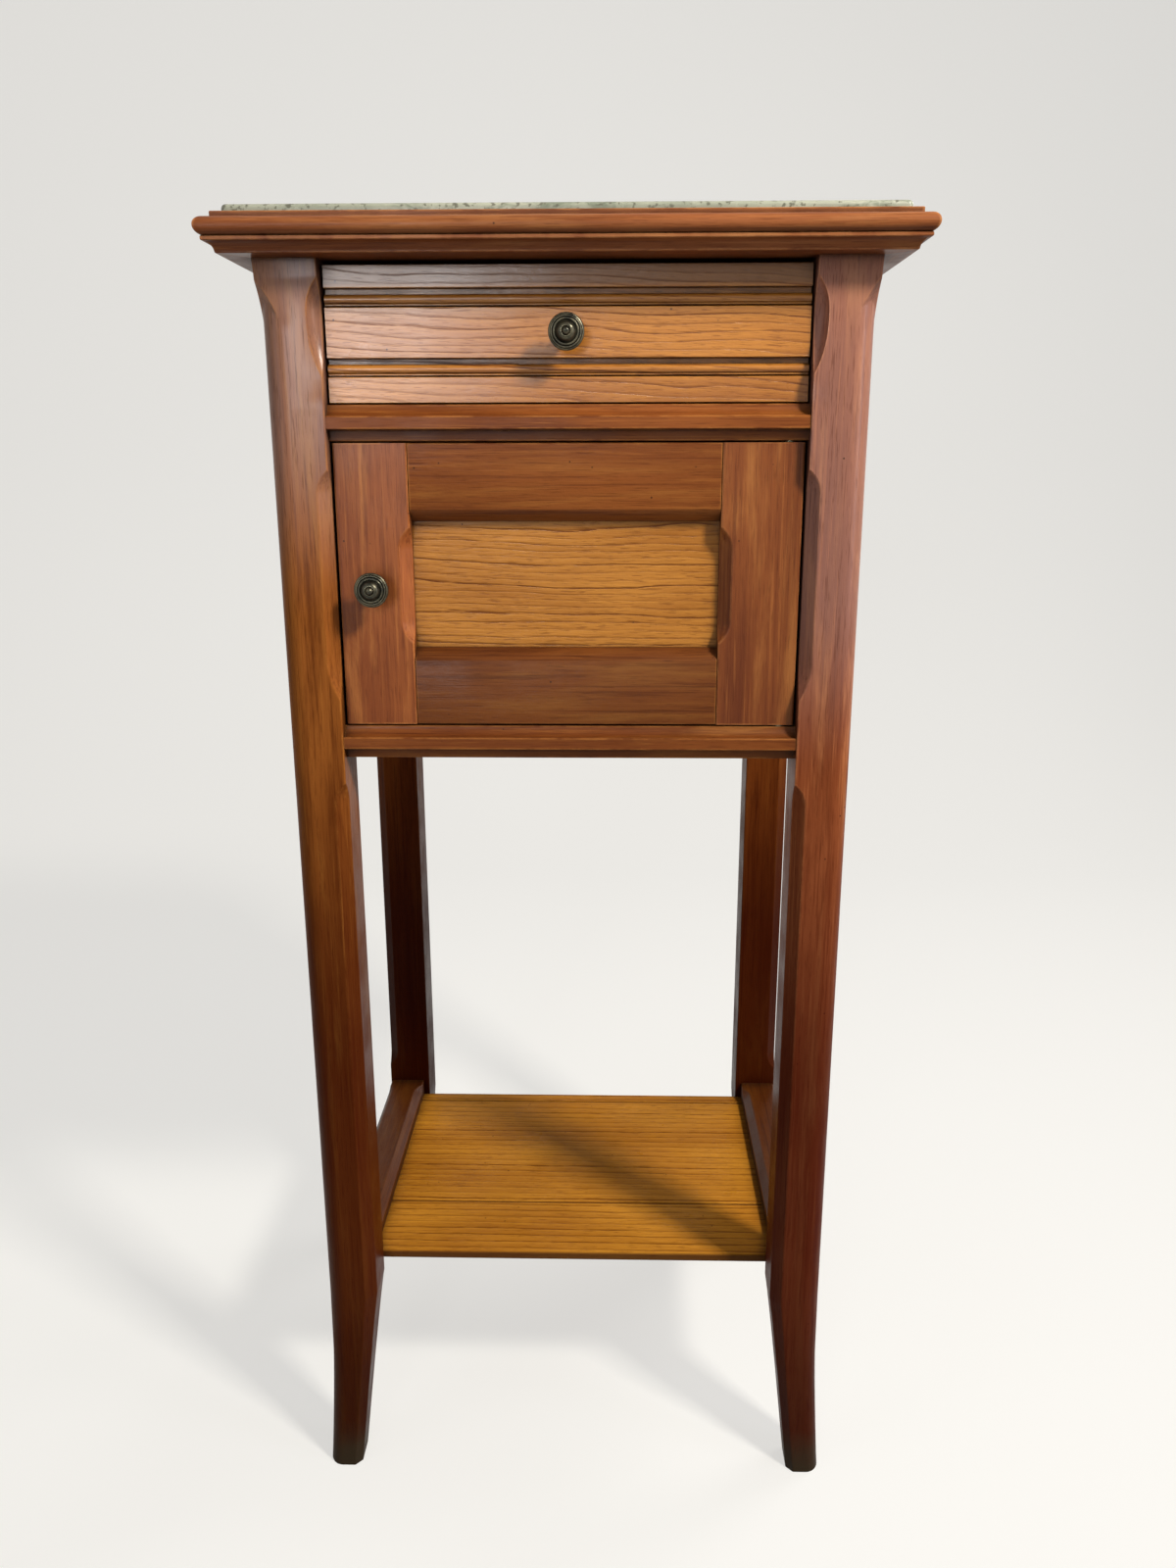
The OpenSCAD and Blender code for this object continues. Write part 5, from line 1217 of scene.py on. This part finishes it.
# Name, place, size, watts, colour, aim and spread of each lamp
LAMPS = (
    ("key_window", (1.25, -1.15, 1.95), (0.30, 0.30), 19.5, (1.0, 0.95, 0.86), (0.05, -0.1, 0.74), 112),
    ("front_window", (-0.52, -2.3, 1.06), (0.45, 0.5), 1.3, (0.93, 0.96, 1.0), (-0.08, -0.1, 0.84), 60),
    ("side_window", (-1.7, -1.2, 1.25), (0.9, 1.2), 3.5, (0.92, 0.96, 1.0), (0, 0, 0.7), 180),
    ("right_window", (1.9, -0.75, 0.95), (0.5, 1.0), 1.6, (0.84, 0.86, 1.0), (0.1, -0.1, 0.6), 90),
    ("back_card", (1.7, 1.1, 1.7), (1.0, 1.0), 7.0, (1.0, 0.98, 0.95), (0, 0.2, 0.5), 120),
)
# The photograph's viewpoint: yaw, pitch and roll in degrees, place in metres, and lens and height in pixels
VIEW_TURNS, VIEW_PLACE = (-1.250, 15.213, 0.100), (0.0271, -0.8445, 0.71355)
VIEW_FOCAL, VIEW_PIXELS = 1204.4, 1600


class CUPBOARD_OT_stage(bpy.types.Operator):
    """Set the plain floor, the backdrop, the lights and the camera"""
    bl_idname = "cupboard.stage"
    bl_label = "Stage"

    def execute(self, context):
        self.floor()
        self.lights()
        self.camera()
        bpy.context.scene.view_settings.view_transform = "Standard"
        return {"FINISHED"}

    def floor(self):
        """A floor that curves up into the backdrop."""
        curve = [(FLOOR_BACK + y, z) for y, z in arc(0, FLOOR_CURVE, FLOOR_CURVE, -90, 0, 16)]
        profile = [(FLOOR_FRONT, 0.0), (FLOOR_BACK, 0.0)] + curve + [(FLOOR_BACK + FLOOR_CURVE, WALL_TOP)]
        mesh = bpy.data.meshes.new("studio_floor")
        points = [(x, y, z) for y, z in profile for x in (-HALF_WIDE, HALF_WIDE)]
        faces = [(2 * i, 2 * i + 1, 2 * i + 3, 2 * i + 2) for i in range(len(profile) - 1)]
        mesh.from_pydata(points, [], faces)
        mesh.shade_smooth()
        floor = bpy.data.objects.new("studio_floor", mesh)
        bpy.context.scene.collection.objects.link(floor)
        f = Finish("plain_floor")
        base = tuple(colours().floor)
        pale = f.mix(f.noise(f.coords("X"), scale=1.2, detail=3), tint(base, 0.45), tint(base, 0.47))
        rays = f.add("ShaderNodeLightPath").outputs
        seen = f.math("ADD", rays["Is Camera Ray"], rays["Is Glossy Ray"], clamp=True)
        seen = f.math("ADD", seen, rays["Is Transmission Ray"], clamp=True)
        f.give("Base Color", f.mix(seen, tint(base, 0.24), pale))
        f.give("Emission Color", STUDIO_PALE)
        f.give("Emission Strength", f.scaled(seen, FLOOR_GLOW))
        f.give("Roughness", 0.85)
        mesh.materials.append(f.material)

    def lights(self):
        """Window light from the front right, weaker light from the sides, and pale air."""
        for name, where, size, power, colour, aim, spread in LAMPS:
            light = bpy.data.lights.new(name, "AREA")
            light.shape = "RECTANGLE"
            light.size, light.size_y = size
            light.energy = power
            light.color = colour
            light.spread = math.radians(spread)
            holder = bpy.data.objects.new(name, light)
            holder.location = where
            holder.rotation_euler = (Vector(aim) - Vector(where)).to_track_quat("-Z", "Y").to_euler()
            bpy.context.scene.collection.objects.link(holder)
        world = bpy.data.worlds.new("studio_air")
        world.use_nodes = True
        tree = world.node_tree
        back = tree.nodes["Background"]
        back.inputs["Color"].default_value = STUDIO_PALE
        rays = tree.nodes.new("ShaderNodeLightPath").outputs
        seen = rays["Is Camera Ray"]
        for kind in ("Is Glossy Ray", "Is Transmission Ray"):
            either = tree.nodes.new("ShaderNodeMath")
            either.operation = "MAXIMUM"
            tree.links.new(seen, either.inputs[0])
            tree.links.new(rays[kind], either.inputs[1])
            seen = either.outputs[0]
        level = tree.nodes.new("ShaderNodeMapRange")
        level.inputs["To Min"].default_value, level.inputs["To Max"].default_value = AIR_LIGHT, AIR_SEEN
        tree.links.new(seen, level.inputs["Value"])
        tree.links.new(level.outputs["Result"], back.inputs["Strength"])
        bpy.context.scene.world = world

    def camera(self):
        """The photograph's viewpoint, found from the cupboard's straight edges."""
        yaw, pitch, roll = (math.radians(v) for v in VIEW_TURNS)
        ahead = Vector((math.sin(yaw) * math.cos(pitch), math.cos(yaw) * math.cos(pitch), -math.sin(pitch)))
        side = Vector((math.cos(yaw), -math.sin(yaw), 0))
        down = ahead.cross(side)
        right = math.cos(roll) * side + math.sin(roll) * down
        below = -math.sin(roll) * side + math.cos(roll) * down
        turn = Matrix((right, -below, -ahead)).transposed().to_4x4()
        lens = bpy.data.cameras.new("photo_view")
        lens.sensor_fit = "AUTO"
        lens.sensor_width = 36.0
        lens.lens = VIEW_FOCAL / VIEW_PIXELS * lens.sensor_width
        lens.clip_start = 0.02
        eye = bpy.data.objects.new("photo_view", lens)
        eye.matrix_world = Matrix.Translation(VIEW_PLACE) @ turn
        bpy.context.scene.collection.objects.link(eye)
        bpy.context.scene.camera = eye


class CUPBOARD_PT_panel(bpy.types.Panel):
    """Lists what the cupboard is made of"""
    bl_idname = "CUPBOARD_PT_panel"
    bl_label = "Pot Cupboard"
    bl_space_type = "VIEW_3D"
    bl_region_type = "UI"
    bl_category = "Pot Cupboard"

    def draw(self, context):
        layout = self.layout
        for group in (context.scene.cupboard_sizes, context.scene.cupboard_colours):
            box = layout.box()
            for name in group.bl_rna.properties.keys():
                if name not in ("rna_type", "name"):
                    box.prop(group, name)
        for operator in OPERATORS:
            layout.operator(operator.bl_idname)


OPERATORS = (
    CUPBOARD_OT_legs, CUPBOARD_OT_top, CUPBOARD_OT_rails, CUPBOARD_OT_drawer, CUPBOARD_OT_door,
    CUPBOARD_OT_knobs, CUPBOARD_OT_shelf, CUPBOARD_OT_inside, CUPBOARD_OT_metalwork, CUPBOARD_OT_stage,
)
CLASSES = (CupboardSizes, CupboardColours) + OPERATORS + (CUPBOARD_PT_panel,)


def register():
    """Makes the classes known and hangs the sizes and colours on the scene."""
    for item in CLASSES:
        bpy.utils.register_class(item)
    bpy.types.Scene.cupboard_sizes = PointerProperty(type=CupboardSizes)
    bpy.types.Scene.cupboard_colours = PointerProperty(type=CupboardColours)


def unregister():
    """Undoes what register did."""
    del bpy.types.Scene.cupboard_colours
    del bpy.types.Scene.cupboard_sizes
    for item in reversed(CLASSES):
        bpy.utils.unregister_class(item)


def main():
    """Makes every group in turn."""
    register()
    for operator in OPERATORS:
        group, action = operator.bl_idname.split(".")
        getattr(getattr(bpy.ops, group), action)()
    bpy.context.view_layer.update()


if __name__ == "__main__":
    main()
